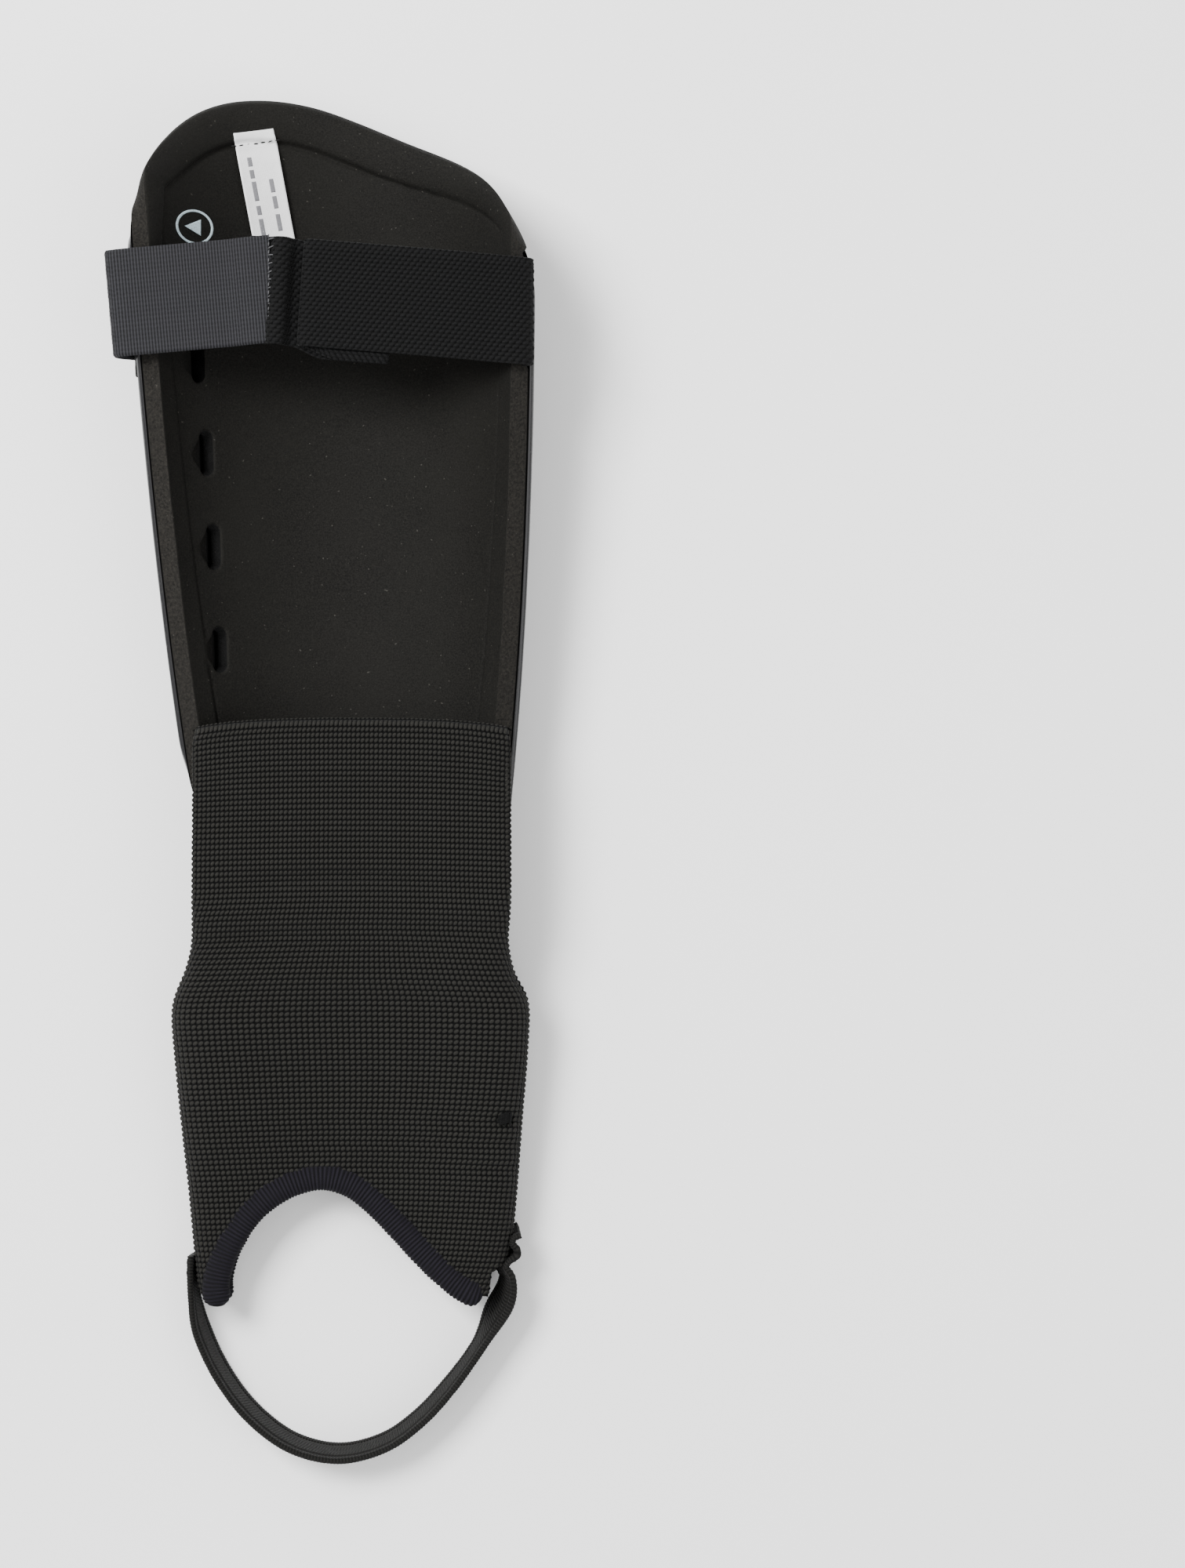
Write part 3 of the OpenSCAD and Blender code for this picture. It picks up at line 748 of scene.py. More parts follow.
def liner_relief(u, v, gap, to_slot):
    """The liner's inner face: a pillowed rim along the top, a crease, and a soft field."""
    at_top = smooth_step(v, 148, 172)
    crease = liner_crease(v)
    share = np.clip(gap / crease, 0, 1)
    pillow = 1.7 * np.sqrt(np.clip(1 - ((share - 0.52) / 0.53) ** 2, 0, 1))
    step = 0.6 * (1 - smooth_step(gap, crease - 0.7, crease + 0.2))
    rim = at_top * pillow * (gap < crease + 0.5) + (1 - at_top) * step
    groove = -(0.6 + 0.6 * at_top) * bump_at(gap, crease + 0.1, 0.42 + 0.16 * at_top)
    nick = -0.9 * bump_at(u, 43.5, 1.0) * bump_at(v, 61, 0.7)
    uneven = 0.07 * soft_noise(u / 9, v / 9, 3) + 0.02 * soft_noise(u / 1.6, v / 1.6, 5)
    return rim + groove + nick + uneven + slot_rounding(to_slot, 0.9, 0.5)


def liner_back(u, v, gap, to_slot):
    """The liner's outer face, hollowed where the strap's tail goes in."""
    pocket = smooth_step(u / LINER_R, math.radians(TAIL_ANGLE - 1), math.radians(TAIL_ANGLE + 1))
    pocket = pocket * (1 - smooth_step(np.abs(v - TAIL_Y), 15.2, 16.4))
    return -1.65 * pocket - 0.02


def shell_inside(u, v, gap, to_slot):
    return slot_rounding(gap, 0.5, 0.5) + slot_rounding(to_slot, 0.5, 0.4)


def shell_outside(u, v, gap, to_slot):
    """The shell's outer face: rounded edges, an inset line round it and dished slots."""
    line = -0.3 * bump_at(gap, 4.6, 0.5)
    dish = -0.35 * bump_at(np.maximum(to_slot, 0), 0, 1.4)
    return slot_rounding(gap, 0.8, 0.75) + line + dish + slot_rounding(to_slot, 0.5, 0.3)


# Rings of mesh inside each plate's edge, as shares of the way to the liner's crease or the
# shell's inset line
LINER_RINGS = (0.03, 0.07, 0.13, 0.2, 0.3, 0.42, 0.55, 0.68, 0.8, 0.88, 0.93, 0.97, 1.01, 1.05, 1.1,
               1.18, 1.3)
SHELL_RINGS = (0.03, 0.06, 0.1, 0.16, 0.25, 0.4, 0.55, 0.65, 0.72, 0.78, 0.84, 0.92, 1.05)


def make_plates():
    # The liner's slot walls get -1, and the shell's slot walls and inner face get 1: the finishes paint these
    # near black, as shade.
    liner = bowed_plate("liner", foam_finish(), (LINER_R, FOAM_R), 0.0, SLOT_W, liner_crease,
                        LINER_RINGS, liner_relief, liner_back,
                        lambda v: 1.1 * smooth_step(v, 160, 182), lambda v: 1 - smooth_step(v, 165, 180),
                        -1.0)
    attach(liner, "guard")
    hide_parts("foam_backing")
    shell = bowed_plate("hard_shell", shell_finish(), (FOAM_R, SHELL_R), TOP_OVERHANG,
                        SHELL_SLOT_W, lambda v: np.full(np.shape(v), 6.0), SHELL_RINGS, shell_inside,
                        shell_outside, lambda v: np.full(np.shape(v), 0.12),
                        lambda v: np.zeros(np.shape(v)), 1.0, hidden=1.0)
    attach(shell, "guard")
    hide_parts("shell")


# ---------------------------------------------------------------- calf strap
STRAP_W = 30.0
STRAP_T = 1.5
STRAP_Z = 43.6
LAYER = STRAP_T + 0.15
PIVOT_X = 58.2
STRAP_SKEW = math.radians(4.5)
SEAM_X = -13.0
TAPE_Y = 139.1
# Middle of the tape where it bends round the outer edge, in plan
BEND = (-57.4, 135.2)
ELASTIC_PITCH = (1.7, 1.2)
RIB_PITCH = 0.85
HOOK_PITCH = 1.3
RUNGS = 13
RUNG_PITCH = 2.25


def elastic_face(s, w):
    """Staggered bumps on the elastic's face, between plain edges with a groove beside them."""
    row = w / ELASTIC_PITCH[1]
    a = s / ELASTIC_PITCH[0] + 0.5 * np.floor(row)
    bumps = np.abs(np.sin(np.pi * a)) * np.abs(np.sin(np.pi * row))
    inside = smooth_step(STRAP_W / 2 - np.abs(w), 0.9, 1.7)
    return 0.2 * bumps * inside - 0.2 * bump_at(STRAP_W / 2 - np.abs(w), 1.1, 0.3) + 0.03


def skewed(points, shift):
    """Points of the strap's run, turned about its hinge to its slight skew in plan."""
    dx = points[:, 0] - PIVOT_X
    y = TAIL_Y + shift - dx * math.sin(STRAP_SKEW)
    return np.stack([points[:, 0], y, points[:, 1]], -1)


def make_elastic():
    """One length of elastic: its end under the tape, a ridge, the pleat, the run to the inner
    edge, and the tail between liner and shell."""
    z1, z2, z3 = STRAP_Z + STRAP_T / 2, STRAP_Z + LAYER + STRAP_T / 2, STRAP_Z + 2 * LAYER + STRAP_T / 2
    tail = [on_shell(LINER_R * math.radians(a), TAIL_Y, FOAM_R - 0.85) for a in (66, 60, 54, 49)]
    side = [(-20.5, z1 - 0.2), (-17, z1), (-15.2, z1 + 0.4), (-13.6, z2 + 0.6), (-12.7, z3 + 0.3),
            (-11.3, z3 + 0.8), (-10.0, z3 + 0.2), (-9.3, z2 + 0.2), (-8.2, z1 + 0.3), (-6.2, z1),
            (0, z1 - 0.2), (8, z1 - 0.2), (17, z1), (19.6, (z1 + z2) / 2), (17.2, z2), (8, z2), (1, z2),
            (-3.0, z2 + 0.1),
            (-4.7, (z2 + z3) / 2 + 0.2), (-2.9, z3 + 0.5), (3, z3 + 0.4), (12, z3 + 0.1), (26, z3 - 0.2),
            (38, z3 - 1.0), (48, z1 + 0.7), (54, z1 + 0.2), (57.4, z1 - 0.5), (58.9, z1 - 2.2)]
    points = [(x, z) for x, z in side] + [(t[0], t[2]) for t in tail]
    flat = curve(points, 0.42)
    middle = (z1 + z2) / 2
    s = np.arange(len(flat))
    top_start = int(np.argmin(np.abs(flat[:, 0] + 4.7) + 9 * (flat[:, 1] < middle) + 99 * (s < 60)))
    ridge_end = int(np.argmin(np.abs(flat[:, 0] + 8.2) + 99 * (s > 60)))
    lag = smooth_step(s, ridge_end, ridge_end + 24) * (1 - smooth_step(s, top_start - 26, top_start))
    path = skewed(flat, -3.0 * lag)
    across = np.tile([math.sin(STRAP_SKEW) * 0.9, 1.0, 0.0], (len(path), 1))
    in_tail = smooth_step(flat[:, 0], 50, 58) + (s > len(s) - 30)
    across[:, 0] *= 1 - np.clip(in_tail, 0, 1)
    elastic = ribbon("calf_elastic", path, across, STRAP_W, STRAP_T - 0.2,
                     elastic_finish(), 90, elastic_face, ELASTIC_PITCH, elastic_face)
    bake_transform(elastic)
    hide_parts("strap_elastic", "strap_anchor_tail")


def tape_ribs(s, w):
    """Ribs straight across the tape, with threads between them."""
    return 0.13 * np.cos(2 * np.pi * s / RIB_PITCH) + 0.03 * soft_noise(s / 2.5, w / 2.5, 21)


def tape_hooks(s, w):
    """Rows of hooks on the face that grips the loop pile."""
    return 0.12 * np.cos(2 * np.pi * s / HOOK_PITCH) * np.cos(2 * np.pi * w / HOOK_PITCH)


def make_tape():
    """Hook tape from its seam on the elastic, over the leg side, and round the outer edge."""
    z1, z2 = STRAP_Z + STRAP_T / 2, STRAP_Z + LAYER + STRAP_T / 2
    side = [(SEAM_X, z2 + 0.5), (-17, z2 + 0.35), (-21, z2 - 0.1), (-25, z1 + 0.3), (-31, z1 + 0.1),
            (-44, z1 + 0.1), (-52, z1 + 0.1), (-56.2, z1 - 0.2), (-58.3, z1 - 1.5), (-58.9, z1 - 3.4),
            (-57.8, z1 - 7.5), (-54.3, z1 - 15), (-50.6, z1 - 22.5), (-46.9, z1 - 28.3)]
    flat = curve(side, 0.106)
    lean = (TAPE_Y - BEND[1]) / (SEAM_X - BEND[0])
    y = TAPE_Y - np.clip(SEAM_X - flat[:, 0], 0, SEAM_X - BEND[0]) * lean
    path = np.stack([flat[:, 0], y, flat[:, 1]], -1)
    across = np.tile([-lean, 1.0, 0.0], (len(path), 1))
    tape = ribbon("hook_tape_band", path, across, STRAP_W, STRAP_T - 0.5,
                  ribbed_finish("ribbed_tape", (0.0018, 0.0018, 0.002), (0.0275, 0.0275, 0.031)),
                  52, tape_ribs, (RIB_PITCH, 1.3), tape_hooks, round_edge=0.8)
    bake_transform(tape)
    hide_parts("hook_tape", "hook_tab")


def make_strap_seam():
    """Two rows of ladder stitches where the tape ends on the elastic."""
    ends = []
    z = STRAP_Z + LAYER + STRAP_T + 0.75
    for i in range(RUNGS):
        y = TAPE_Y + (i - (RUNGS - 1) / 2) * RUNG_PITCH
        jog = 0.25 * math.sin(i * 2.1)
        ends.append(((SEAM_X - 1.5, y + jog, z), (SEAM_X + 0.5, y + 0.5 - jog, z + 0.05)))
        ends.append(((SEAM_X - 1.3, y + 0.5, z), (SEAM_X - 1.2, y + 1.6, z)))
    seam = stitches("strap_seam", ends, 0.19, thread_finish("pale_thread", grey(0.05), (0.085, 0.085, 0.09)))
    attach(seam, "calf_strap")
    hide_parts("strap_seam_stitching")


def make_loop_patch():
    """Loop pile on the shell's outer front, under the hook tab."""
    low, high = LINER_R * math.radians(-64), LINER_R * math.radians(-38)
    v = np.arange(117, 152.01, 0.5)
    u = np.arange(low, high, 0.5)
    vg, ug = np.meshgrid(v, u, indexing="ij")
    edge = np.minimum(np.minimum(vg - v[0], v[-1] - vg), np.minimum(ug - u[0], u[-1] - ug))
    lift = 1.05 * rounded_edge(edge, 0.02) + 0.12 * soft_noise(ug / 0.9, vg / 0.9, 31) * np.clip(edge, 0, 1)
    top = on_shell(ug, vg, SHELL_R + lift)
    bottom = on_shell(ug, vg, SHELL_R + 0.02)
    patch = cloth("loop_pile", top, bottom, loop_finish())
    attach(patch, "guard")
    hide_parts("loop_patch")


# ---------------------------------------------------------------- label and mark
LABEL_W = 11.6
LABEL_TOP = (-19.9, 183.2)
LABEL_LEAN = math.radians(10.4)
LABEL_RUN = 39.0
LABEL_HALF_T = 0.13
LABEL_STEP = 0.5
LABEL_STITCH = 2.05
SATIN_PITCH = 0.35
MARK_AT = (-36.6, 158.6)
MARK_R = 4.9


def label_place(s, w):
    """A place on the label: s down from its crease, w to its right."""
    x = LABEL_TOP[0] + s * math.sin(LABEL_LEAN) + w * math.cos(LABEL_LEAN)
    y = LABEL_TOP[1] - s * math.cos(LABEL_LEAN) + w * math.sin(LABEL_LEAN)
    return x, y


LINER_EDGE = edge_loops((LINER_R, FOAM_R), 0.0)[0]


def liner_face(x, y):
    """Height of the liner's moulded inner face at places in plan."""
    flat_x, flat_y = np.ravel(x).astype(float), np.ravel(y).astype(float)
    side, v = off_axis(flat_x, flat_y)
    u = LINER_R * np.arcsin(np.clip(side / LINER_R, -1, 1))
    gap = distance_to(np.stack([u, v], -1), LINER_EDGE)
    relief = liner_relief(u, v, gap, np.full(len(u), 9.0))
    return (liner_height(flat_x, flat_y) + relief / np.cos(u / LINER_R)).reshape(np.shape(x))


def label_lift(s):
    """How high over the liner the label's face floats: close at its stitches, then a soft wave."""
    return 0.55 + 0.5 * bump_at(s, -0.6, 1.4) + 0.9 * smooth_step(s, 0, 5) * (1 - 0.6 * smooth_step(s, 6, 30))


def label_curl(s, w):
    """How far the label's long edges turn up."""
    return 0.25 * (np.abs(w) / (LABEL_W / 2)) ** 3 * smooth_step(s, 2, 12)


def on_liner(x, y, lift):
    return np.stack([x, y, liner_face(x, y) + lift], -1)


def label_points(s, w, lift):
    return on_liner(*label_place(s, w), lift)


def make_label():
    """The satin label, folded at its crease so that its first rows lie under the rest."""
    w = np.linspace(-LABEL_W / 2, LABEL_W / 2, 24)
    rows = []
    for s in np.arange(-3.4, 1.5, LABEL_STEP)[::-1]:
        rows.append(label_points(s, w * (1 - 0.03 * (s < 0)), 0.15 + 0 * w))
    for s in np.arange(-3.6, LABEL_RUN, LABEL_STEP):
        narrow = 1 - 0.04 * (1 - smooth_step(s, -3.6, 0.2))
        rows.append(label_points(s, w * narrow, label_lift(s) + label_curl(s, w)))
    middle = np.stack(rows)
    stand = grid_normals(middle) * LABEL_HALF_T
    run = np.arange(len(rows)) * LABEL_STEP
    weave = np.stack(np.meshgrid(run / SATIN_PITCH, w / SATIN_PITCH, indexing="ij"), -1)
    label = cloth("size_tag", middle + stand, middle - stand, satin_finish(), weave)
    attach(label, "guard")
    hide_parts("size_label")
    bars = make_bars()


def make_bars():
    """Plain bars printed on the label, in two columns that run down it."""
    points, faces = [], []
    columns = ((-2.6, ((3.4, 6.0), (7.0, 9.4), (10.3, 15.8), (17.2, 19.8), (20.9, 26.0))),
               (2.3, ((10.2, 14.0), (15.1, 18.6), (20.2, 25.0))))
    for middle, runs in columns:
        for first, last in runs:
            s, w = np.meshgrid(np.linspace(first, last, 12), middle + np.linspace(-0.62, 0.62, 6),
                               indexing="ij")
            start = sum(len(p) for p in points)
            for lift in (0.19, 0.1):
                height = label_lift(s) + label_curl(s, w) + lift
                points.append(label_points(s, w, height).reshape(-1, 3))
            faces += [f + start for f in cloth_faces(np.ones((11, 5), bool))]
    bars = add_mesh("label_bars", np.vstack(points), [np.vstack(faces)],
                    print_finish("label_ink", (0.16, 0.16, 0.17), (0.6, 0.6, 0.6), 0.62))
    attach(bars, "guard")
    return bars


def make_label_stitches():
    ends = []
    for i in range(7):
        w = (i - 3) * LABEL_STITCH
        ends.append((label_points(-0.35 + 0.12 * (i % 2), w - 0.75, 1.25),
                     label_points(-0.25 - 0.1 * (i % 3), w + 0.7, 1.25)))
    made = stitches("label_stitches", ends, 0.2, thread_finish("black_thread", grey(0.004), grey(0.02)))
    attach(made, "guard")
    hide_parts("label_stitching")


def printed(x, y):
    """The top and the underside of a layer of ink at places in plan."""
    return [on_liner(x, y, lift).reshape(-1, 3) for lift in (0.2, 0.02)]


def make_mark():
    """A printed ring with an arrowhead that tells the left guard from the right."""
    sides = 96
    turn = circle(sides)
    reach = MARK_R - np.array([0.62, 0.4, 0.2, 0.0])[:, None]
    points = printed(MARK_AT[0] + reach * np.cos(turn), MARK_AT[1] + reach * np.sin(turn))
    count = len(points[0])
    top = tube(len(reach), sides)
    faces = [top, top[:, ::-1] + count]
    for first in (0, count - sides):
        ring = first + np.arange(sides)
        after = np.roll(ring, -1)
        faces.append(np.stack([ring, after, after + count, ring + count], -1))
    s, w = np.meshgrid(np.linspace(0, 1, 16), np.linspace(-1, 1, 9), indexing="ij")
    points += printed(MARK_AT[0] - 2.6 + 4.2 * s, MARK_AT[1] + 2.3 * s * w)
    faces += [f + 2 * count for f in cloth_faces(np.ones((15, 8), bool))]
    mark = add_mesh("left_mark", np.vstack(points), [np.vstack(faces)],
                    print_finish("mark_ink", (0.42, 0.52, 0.56), (0.05, 0.055, 0.055), 0.56))
    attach(mark, "guard")
    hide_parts("side_mark")


# ---------------------------------------------------------------- ankle sleeve
STITCH = 1.55
KNIT_T = 1.7
CUFF_Y = 17.6
SHIN_TOP_Y = 13.0
FOOT_Y = -147.0
CALF_COLUMNS, SHIN_COLUMNS = 72, 74
HEM_ROWS = 7
HEM_BENDS = 5
HEM_GAP = 3.3
# Exponent of the superellipse that the sleeve's section follows
SQUARENESS = 4.4
# Plan of the sleeve's sides, from the cuff to the foot: place along and across
LEFT_SIDE = curve([(18.5, -35.4), (14, -36.6), (0, -36.6), (-30, -36.9), (-43, -37.4), (-51.5, -39.6),
                   (-61, -43.3), (-72, -43.3), (-95, -41.2), (-115, -39.1), (-136, -37.2),
                   (-148, -35.6)], 0.5)
RIGHT_SIDE = curve([(18.5, 51.8), (14, 52.5), (0, 52.7), (-30, 52.7), (-43, 51.9), (-52.5, 53.4),
                    (-61, 57.3), (-72, 57.4), (-95, 55.6), (-115, 54.1), (-129, 52.6), (-138, 50.2),
                    (-148, 46)], 0.5)
# Heights at places along: the middle of the side folds, the calf side, its sag, the shin side
SIDE_Z = curve([(18.5, 29.8), (-25, 29.2), (-38, 25.5), (-52, 17.5), (-66, 12.5), (-100, 10.5),
                (-148, 9)], 0.5)
CALF_Z = curve([(18.5, 32.5), (-30, 32.2), (-45, 30.8), (-60, 28.6), (-100, 23.2), (-148, 17.2)], 0.5)
SAG = curve([(18.5, 1.2), (-10, 2.2), (-30, 2.4), (-60, 4.6), (-90, 6.0), (-120, 5.5), (-148, 3.5)], 0.5)
SHIN_Z = curve([(18.5, 12.6), (-29, 12.6), (-40, 7.0), (-52, 1.7), (-60, 0.7), (-148, 0.7)], 0.5)
# Middle of the binding round the arch at the foot
ARCH = [(-31.0, -148.4), (-31.3, -141), (-28.4, -131.5), (-23, -122.8), (-15.8, -116.2), (-8, -112.4),
        (-0.6, -111.2), (6.8, -113.2), (13.6, -118.2), (21.5, -126.2), (29, -134.2), (36.2, -140.8),
        (41.0, -144.0), (44.6, -145.2)]


def at_y(table, y):
    """A value from a table of places along and values, at places y."""
    order = np.argsort(table[:, 0])
    return np.interp(y, table[order, 0], table[order, 1])


def wrinkles(x, y):
    """Soft folds across the calf side, at the ankle and under the tack."""
    low = -1.7 * bump_at(y + 0.003 * (x - 6) ** 2, -25.0, 2.4) * bump_at(x, 4, 27)
    low += -1.3 * bump_at(y - 0.06 * x, -41.0, 2.2) * bump_at(x, -20, 17)
    low += -0.8 * bump_at(y + 0.03 * x, -38.0, 2.6) * bump_at(x, 36, 14)
    low += 0.6 * bump_at(y - 0.04 * x, -35, 4.5) + 0.5 * bump_at(y, -53, 4)
    tack = -1.7 * bump_at(x, 51, 3.4) * bump_at(y, -94, 2.0)
    pulled = -0.95 * bump_at(x, 49, 7) * (bump_at(y, -101, 1.6) + bump_at(y, -108, 1.8))
    return low + tack + pulled + 0.45 * soft_noise(x / 24, y / 16, 41) + 0.12 * soft_noise(x / 7, y / 5, 42)


def sleeve_grid(y, columns, calf):
    """Outer face of one wall of the sleeve, one row of points for each place along it."""
    left, right = at_y(LEFT_SIDE, y), at_y(RIGHT_SIDE, y)
    side, top, low = at_y(SIDE_Z, y), at_y(CALF_Z, y), at_y(SHIN_Z, y)
    turn = np.linspace(0, np.pi, 400)
    x = np.sign(np.cos(turn)) * np.abs(np.cos(turn)) ** (2 / SQUARENESS)
    rise = np.sin(turn) ** (2 / SQUARENESS)
    centre, half = (left + right) / 2, (right - left) / 2
    px = centre[:, None] + half[:, None] * x
    if calf:
        pz = side[:, None] + (top - side)[:, None] * rise
        pz = pz - at_y(SAG, y)[:, None] * np.clip(1 - x ** 2, 0, 1) ** 1.6
        pz = pz + wrinkles(px, y[:, None]) * rise
    else:
        flat = side[:, None] - (side - low)[:, None] * rise
        trough = liner_height(px, np.broadcast_to(y[:, None], px.shape), LINER_R - 0.35)
        trough = np.minimum(trough, side[:, None])
        share = smooth_step(y, -52, -30)[:, None]
        pz = flat * (1 - share) + trough * share
    arched = 0.9 * x ** 2 + 1.6 * np.abs(x) ** 4 * smooth_step(y, -12, 14)[:, None]
    py = y[:, None] - arched * (1 if calf else 0)
    dense = np.stack([px, py, pz], -1)
    return np.stack([at_lengths(row, np.linspace(0, lengths(row)[-1], columns)) for row in dense])


def stitch_relief(column, row):
    """Height of the knitted face: an oval bump for each stitch, deepest between the rows."""
    a, b = column - np.floor(column), row - np.floor(row)
    return 0.5 * np.abs(np.sin(np.pi * b)) ** 0.7 * (0.45 + 0.55 * np.abs(np.sin(np.pi * a)))


# How far a corner of the mesh may move to meet the edge at the foot
TRIM_REACH = 1.3
# Edge of the sleeve at the foot, in plan from the outer side to the inner side
FOOT_EDGE = np.vstack([[(-60, -137.5), (-37.6, -141.5), (-34.2, -146.8)], curve(ARCH, 1.0),
                       [(46.2, -145.5), (47.0, -138.6), (51, -135.5), (70, -134)]])


def arch_open(x, y):
    """Whether places in plan lie beyond the sleeve's edge at the foot."""
    return in_outline(x, y, np.vstack([FOOT_EDGE, [(70, -180), (-60, -180)]]))


def trimmed(points, keep, line):
    """The grid with the corners on the edge of the kept cells moved onto a line in plan."""
    some = np.ones(points.shape[:2], bool)
    for cells in (keep, ~keep):
        held = np.pad(cells, 1)
        some &= held[:-1, :-1] | held[:-1, 1:] | held[1:, :-1] | held[1:, 1:]
    moved = points[some]
    a, run = line[:-1], np.diff(line, axis=0)
    t = np.clip(((moved[:, None, :2] - a) * run).sum(-1) / (run ** 2).sum(-1), 0, 1)
    near = a + run * t[..., None]
    gap = np.linalg.norm(near - moved[:, None, :2], axis=-1)
    row, best = np.arange(len(moved)), gap.argmin(1)
    close = gap[row, best] < TRIM_REACH
    moved[close, :2] = near[row, best][close]
    made = points.copy()
    made[some] = moved
    return made


def turned_in(face, columns, step, rows):
    """The wall's face with rows of hem before it, folded in under its top."""
    inner = sleeve_grid(CUFF_Y - step * np.arange(rows, 0, -1), columns, True)
    rise = np.clip((inner[..., 2] - at_y(SIDE_Z, inner[..., 1]) + 1.0) / 2.6, 0, 1)[..., None]
    inner = inner + np.array([0.0, 0.0, -1.0]) * HEM_GAP * rise
    bend = []
    for turn in np.linspace(0, np.pi, HEM_BENDS + 2)[-2:0:-1]:
        part = face[0].copy()
        part[:, 1] += HEM_GAP / 2 * math.sin(turn)
        part[:, 2] -= (HEM_GAP / 2) * (1 - math.cos(turn)) * rise[0, :, 0]
        bend.append(part)
    return np.concatenate([inner, np.stack(bend), face])


def make_wall(name, calf, finish, rows_per, columns_per):
    """One wall of the knitted tube, with some rows and columns of mesh to a stitch."""
    step = STITCH / rows_per
    columns = (CALF_COLUMNS if calf else SHIN_COLUMNS) * columns_per + 1
    face = sleeve_grid(np.arange(CUFF_Y if calf else SHIN_TOP_Y, FOOT_Y, -step), columns, calf)
    if calf:
        face = turned_in(face, columns, step, HEM_ROWS * rows_per)
    cell = (face[:-1, :-1] + face[1:, 1:]) / 2
    keep = ~arch_open(cell[..., 0], cell[..., 1])
    face = trimmed(face, keep, FOOT_EDGE)
    normals = grid_normals(face)
    if normals[len(face) // 2, columns // 2, 2] * (1 if calf else -1) < 0:
        normals = -normals
    column, row = np.meshgrid(np.arange(columns) / columns_per, np.arange(len(face)) / rows_per)
    height = stitch_relief(column, row) + 0.05 * soft_noise(column / 1.3, row / 1.3, 51)
    outer = face + normals * height[..., None]
    inner = face - normals * (KNIT_T - 0.4 * height)[..., None]
    wall = cloth(name, outer, inner, finish, np.stack([column, row], -1), keep)
    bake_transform(wall)
    return wall


def make_sleeve():
    finish = knit_finish()
    calf = make_wall("sleeve_calf_side", True, finish, 3, 2)
    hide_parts("sleeve_cuff_back", "sleeve_back_panel", "cuff_hem")
    shin = make_wall("sleeve_shin_side", False, finish, 2, 2)
    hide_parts("sleeve_cuff_front", "sleeve_front_panel")


def calf_height(x, y):
    """Height of the calf side's outer face at places in plan, away from its side folds."""
    top, side = at_y(CALF_Z, y), at_y(SIDE_Z, y)
    centre = (at_y(LEFT_SIDE, y) + at_y(RIGHT_SIDE, y)) / 2
    half = (at_y(RIGHT_SIDE, y) - at_y(LEFT_SIDE, y)) / 2
    share = np.clip(np.abs(x - centre) / half, 0, 0.999)
    rise = (1 - share ** SQUARENESS) ** (1 / SQUARENESS)
    return side + (top - side) * rise - at_y(SAG, y) * (1 - share ** 2) ** 1.6


def on_calf(x, y):
    return x, y, calf_height(x, y)


BINDING_PITCH = 1.1
BINDING_HALF_W, BINDING_HALF_T = 3.6, 1.8
BINDING_STEP = 0.16


def binding_ribs(s, turn):
    """Overlock threads wound round the edge, close together and slightly slanted."""
    phase = s / BINDING_PITCH + 0.25 * np.sin(turn) + 0.3 * soft_noise(s / 2.2, turn, 61)
    ribs = 0.34 * np.abs(np.sin(np.pi * phase)) ** 0.8
    return ribs * (0.65 + 0.6 * np.abs(np.cos(turn))) + 0.14 * soft_noise(s / 4, turn / 2, 62)


def make_bindings():
    finish = ribbed_finish("overlock_thread", (0.0005, 0.0005, 0.0007), (0.0092, 0.008, 0.0122))
    plan = curve(ARCH, BINDING_STEP)
    run = unit(np.gradient(plan, axis=0))
    across = np.stack([-run[:, 1], run[:, 0], np.zeros(len(run))], -1)
    for name, calf in (("calf_arch_binding", True), ("shin_arch_binding", False)):
        y = np.maximum(plan[:, 1], -147)
        z = calf_height(plan[:, 0], y) - 0.75 if calf else np.full(len(plan), 2.15)
        made = roll(name, np.column_stack([plan, z]), across, BINDING_HALF_W, BINDING_HALF_T, finish, 34,
                    binding_ribs, (BINDING_PITCH, 0.3), 3.4)
        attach(made, "ankle_sleeve")
        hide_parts("back_arch_binding" if calf else "front_arch_binding")


PAD_Y = (-122.0, -60.0)
PAD_Z = (3.0, 16.0)
PAD_DEPTH = (2.7, 7.4)
LINING_W = 14.0


def make_pads():
    """Ankle pads behind the two sides of the sleeve, and the linings that hold them."""
    pad_material = pad_finish()
    lining_material = ribbed_finish("smooth_lining", grey(0.008), grey(0.03))
    for word, table, side in (("inner", RIGHT_SIDE, -1), ("outer", LEFT_SIDE, 1)):
        pad = pillow(word + "_pad", table, side, pad_material)
        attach(pad, "ankle_sleeve")
        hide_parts(word + "_ankle_pad")
        y = np.linspace(PAD_Y[0] - 3, PAD_Y[1] + 3, 140)
        x = at_y(table, y) + side * (8.3 + 0.25 * np.sin(y / 5))
        path = np.column_stack([x, y, np.full(len(y), 9.6)])
        lining = ribbon(word + "_lining", path, np.tile([0.0, 0.0, 1.0], (len(y), 1)), LINING_W, 0.8,
                        lining_material, 30, lambda s, w: 0.05 * np.cos(2 * np.pi * s / 1.1), (1.1, 1.1))
        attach(lining, "ankle_sleeve")
        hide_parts(word + "_pad_lining")


def rounded(value, exponent):
    return np.sign(value) * np.abs(value) ** exponent


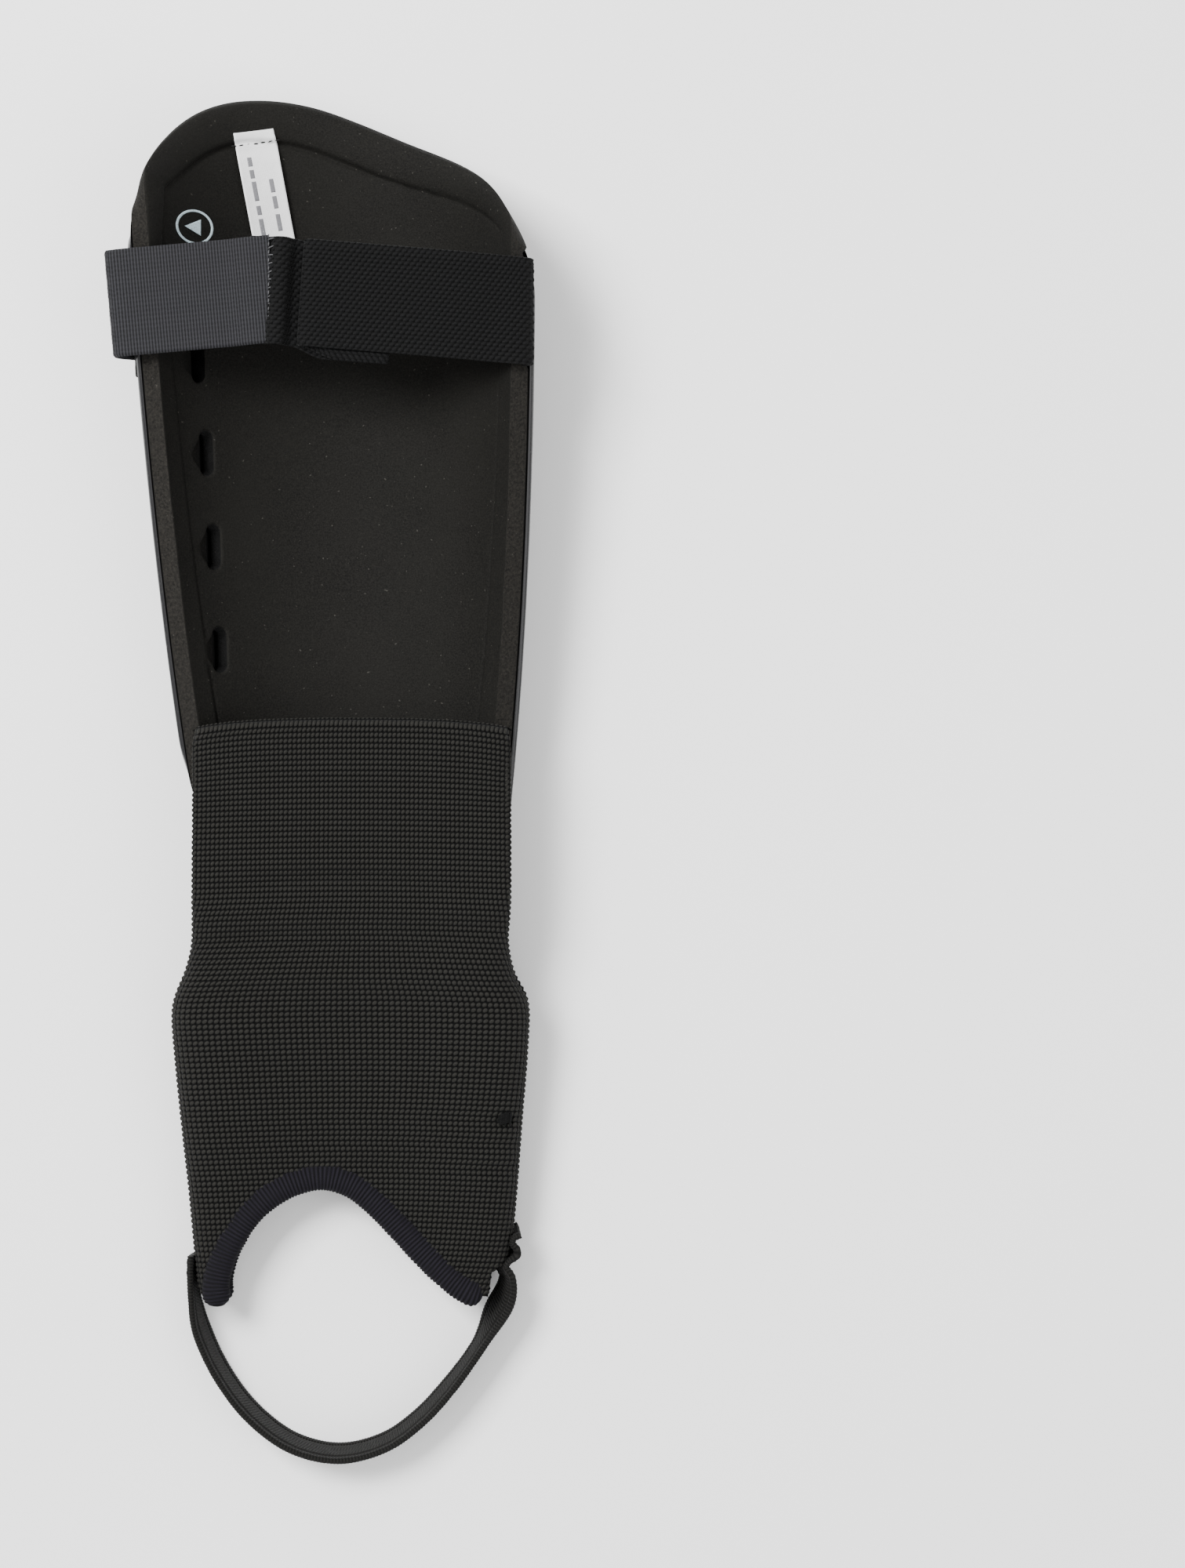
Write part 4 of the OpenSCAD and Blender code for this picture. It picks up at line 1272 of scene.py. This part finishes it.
def pillow(name, table, side, material):
    """A rounded pad that follows the sleeve's side between two depths behind it."""
    lat = np.linspace(-np.pi / 2, np.pi / 2, 26)[:, None]
    lon = circle(72)[None]
    out = rounded(np.cos(lat), 0.5)
    place = []
    for share, (low, high) in ((rounded(np.sin(lat), 0.5) * np.ones_like(lon), PAD_DEPTH),
                               (out * rounded(np.cos(lon), 0.55), PAD_Y),
                               (out * rounded(np.sin(lon), 0.55), PAD_Z)):
        place.append((low + high) / 2 + share * (high - low) / 2)
    depth, y, z = place
    return add_mesh(name, np.stack([at_y(table, y) + side * depth, y, z], -1), [tube(26, 72)], material)


TACK_X, TACK_Y = 51.2, -94.2


def make_tack():
    """Black bar-tack that draws the sleeve in over the inner pad."""
    ends = []
    for i in range(-3, 4):
        y = TACK_Y + i * 0.42
        left, right = TACK_X - 2.6 + 0.25 * abs(i), TACK_X + 2.08 - 0.2 * abs(i)
        ends.append(((left, y - 0.5, calf_height(left, y) + 0.1),
                     (right, y + 0.4, calf_height(right, y) + 0.15)))
    for i in range(-1, 2):
        x = TACK_X - 0.1 + i * 1.3
        ends.append((on_calf(x, TACK_Y - 2.6), on_calf(x + 0.5, TACK_Y + 2.2)))
    made = stitches("sleeve_tack", ends, 0.27, thread_finish("tack_thread", grey(0.0006), grey(0.004)))
    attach(made, "ankle_sleeve")
    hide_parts("pad_tack")


SEAM_MIDDLE_X = 6.8
SEAM_PITCH = 5.4
SEAM_Y = 9.2


def make_seam_stitches():
    """Stitches that hold the sleeve's shin side to the liner."""
    ends = []
    for i in range(-7, 8):
        left, right = SEAM_MIDDLE_X + i * SEAM_PITCH + np.array([-1.5, 1.5])
        ends.append(((left, SEAM_Y, liner_height(left, SEAM_Y) + 2.3),
                     (right, SEAM_Y + 0.2, liner_height(right, SEAM_Y) + 2.3)))
    made = stitches("sleeve_seam", ends, 0.32, thread_finish("seam_thread", grey(0.004), grey(0.02)))
    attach(made, "guard")
    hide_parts("sleeve_seam_stitching")


# ---------------------------------------------------------------- stirrup
STIRRUP = [(-38.4, -134, 8.2), (-38.6, -139, 8.0), (-38.2, -146, 7.8), (-36.0, -156, 7.6),
           (-30.4, -168, 7.5), (-21.8, -179.4, 7.5), (-10.3, -188.0, 7.5), (3.0, -191.2, 7.5),
           (16.0, -188.2, 7.5), (26.4, -181.0, 7.5), (35.4, -171.2, 7.5), (42.8, -161.0, 7.6),
           (47.6, -152.0, 7.8), (50.9, -145.5, 8.1), (51.6, -140.6, 8.4), (50.0, -137.2, 8.5),
           (51.4, -134.8, 8.5), (53.8, -133.0, 8.5), (52.2, -130.6, 8.6), (52.8, -128.2, 8.6),
           (55.0, -127.0, 8.6)]
STIRRUP_W = 14.6
STIRRUP_T = 1.7
STIRRUP_X = 7
# Points of the band's path that its tacks cross, from either end
TACK_PLACES = (9, 22, -96, -84)
STIRRUP_RIB = 0.9


def band_relief(s, w):
    """Elastic webbing: two grooves along it and fine slanted ribs across."""
    grooves = -0.42 * (bump_at(w, 4.6, 0.45) + bump_at(w, -4.6, 0.45))
    ribs = 0.13 * np.cos(2 * np.pi * (s / STIRRUP_RIB + w * 0.28))
    return grooves + ribs + 0.05 * soft_noise(s / 2, w / 2, 71)


def make_stirrup():
    path = curve(STIRRUP, 0.22)
    run = unit(np.gradient(path, axis=0))
    outward = unit(np.stack([run[:, 1], -run[:, 0], np.zeros(len(path))], -1))
    share = np.linspace(0, 1, len(path))
    lean = np.radians(3 + 9 * smooth_step(share, 0.05, 0.14) - 3 * smooth_step(share, 0.65, 0.8)
                      + 17 * bump_at(share, 0.845, 0.05))
    across = np.array([0, 0, 1.0]) * np.cos(lean)[:, None] + outward * np.sin(lean)[:, None]
    made = ribbon("stirrup_band", path, across, STIRRUP_W, STIRRUP_T,
                  ribbed_finish("stirrup_elastic", grey(0.0004), (0.0108, 0.0104, 0.0094)),
                  44, band_relief, (STIRRUP_RIB, 0.6), band_relief)
    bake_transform(made)
    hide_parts("stirrup_strap")
    return path, across


def make_stirrup_tacks(path, across):
    """Threads that hold the band's two ends to the corners of the sleeve."""
    out = unit(np.cross(unit(np.gradient(path, axis=0)), across))
    out *= np.sign(out[:, :1] * (path[:, :1] - STIRRUP_X))
    ends = []
    for place in TACK_PLACES:
        for w in np.linspace(-4.5, 4.5, 6):
            ends.append((path[place - 3] + across[place] * w + out[place] * 0.95,
                         path[place + 3] + across[place] * (w + 0.8) + out[place] * 0.95))
    made = stitches("stirrup_tacks", ends, 0.3, thread_finish("stirrup_thread", grey(0.0006), grey(0.006)))
    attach(made, "ankle_sleeve")
    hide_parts("stirrup_stitching")


# ---------------------------------------------------------------- build
make_camera()
make_room()
make_plates()
make_elastic()
make_tape()
make_strap_seam()
make_loop_patch()
make_label()
make_label_stitches()
make_mark()
make_sleeve()
make_bindings()
make_pads()
make_tack()
make_seam_stitches()
make_stirrup_tacks(*make_stirrup())
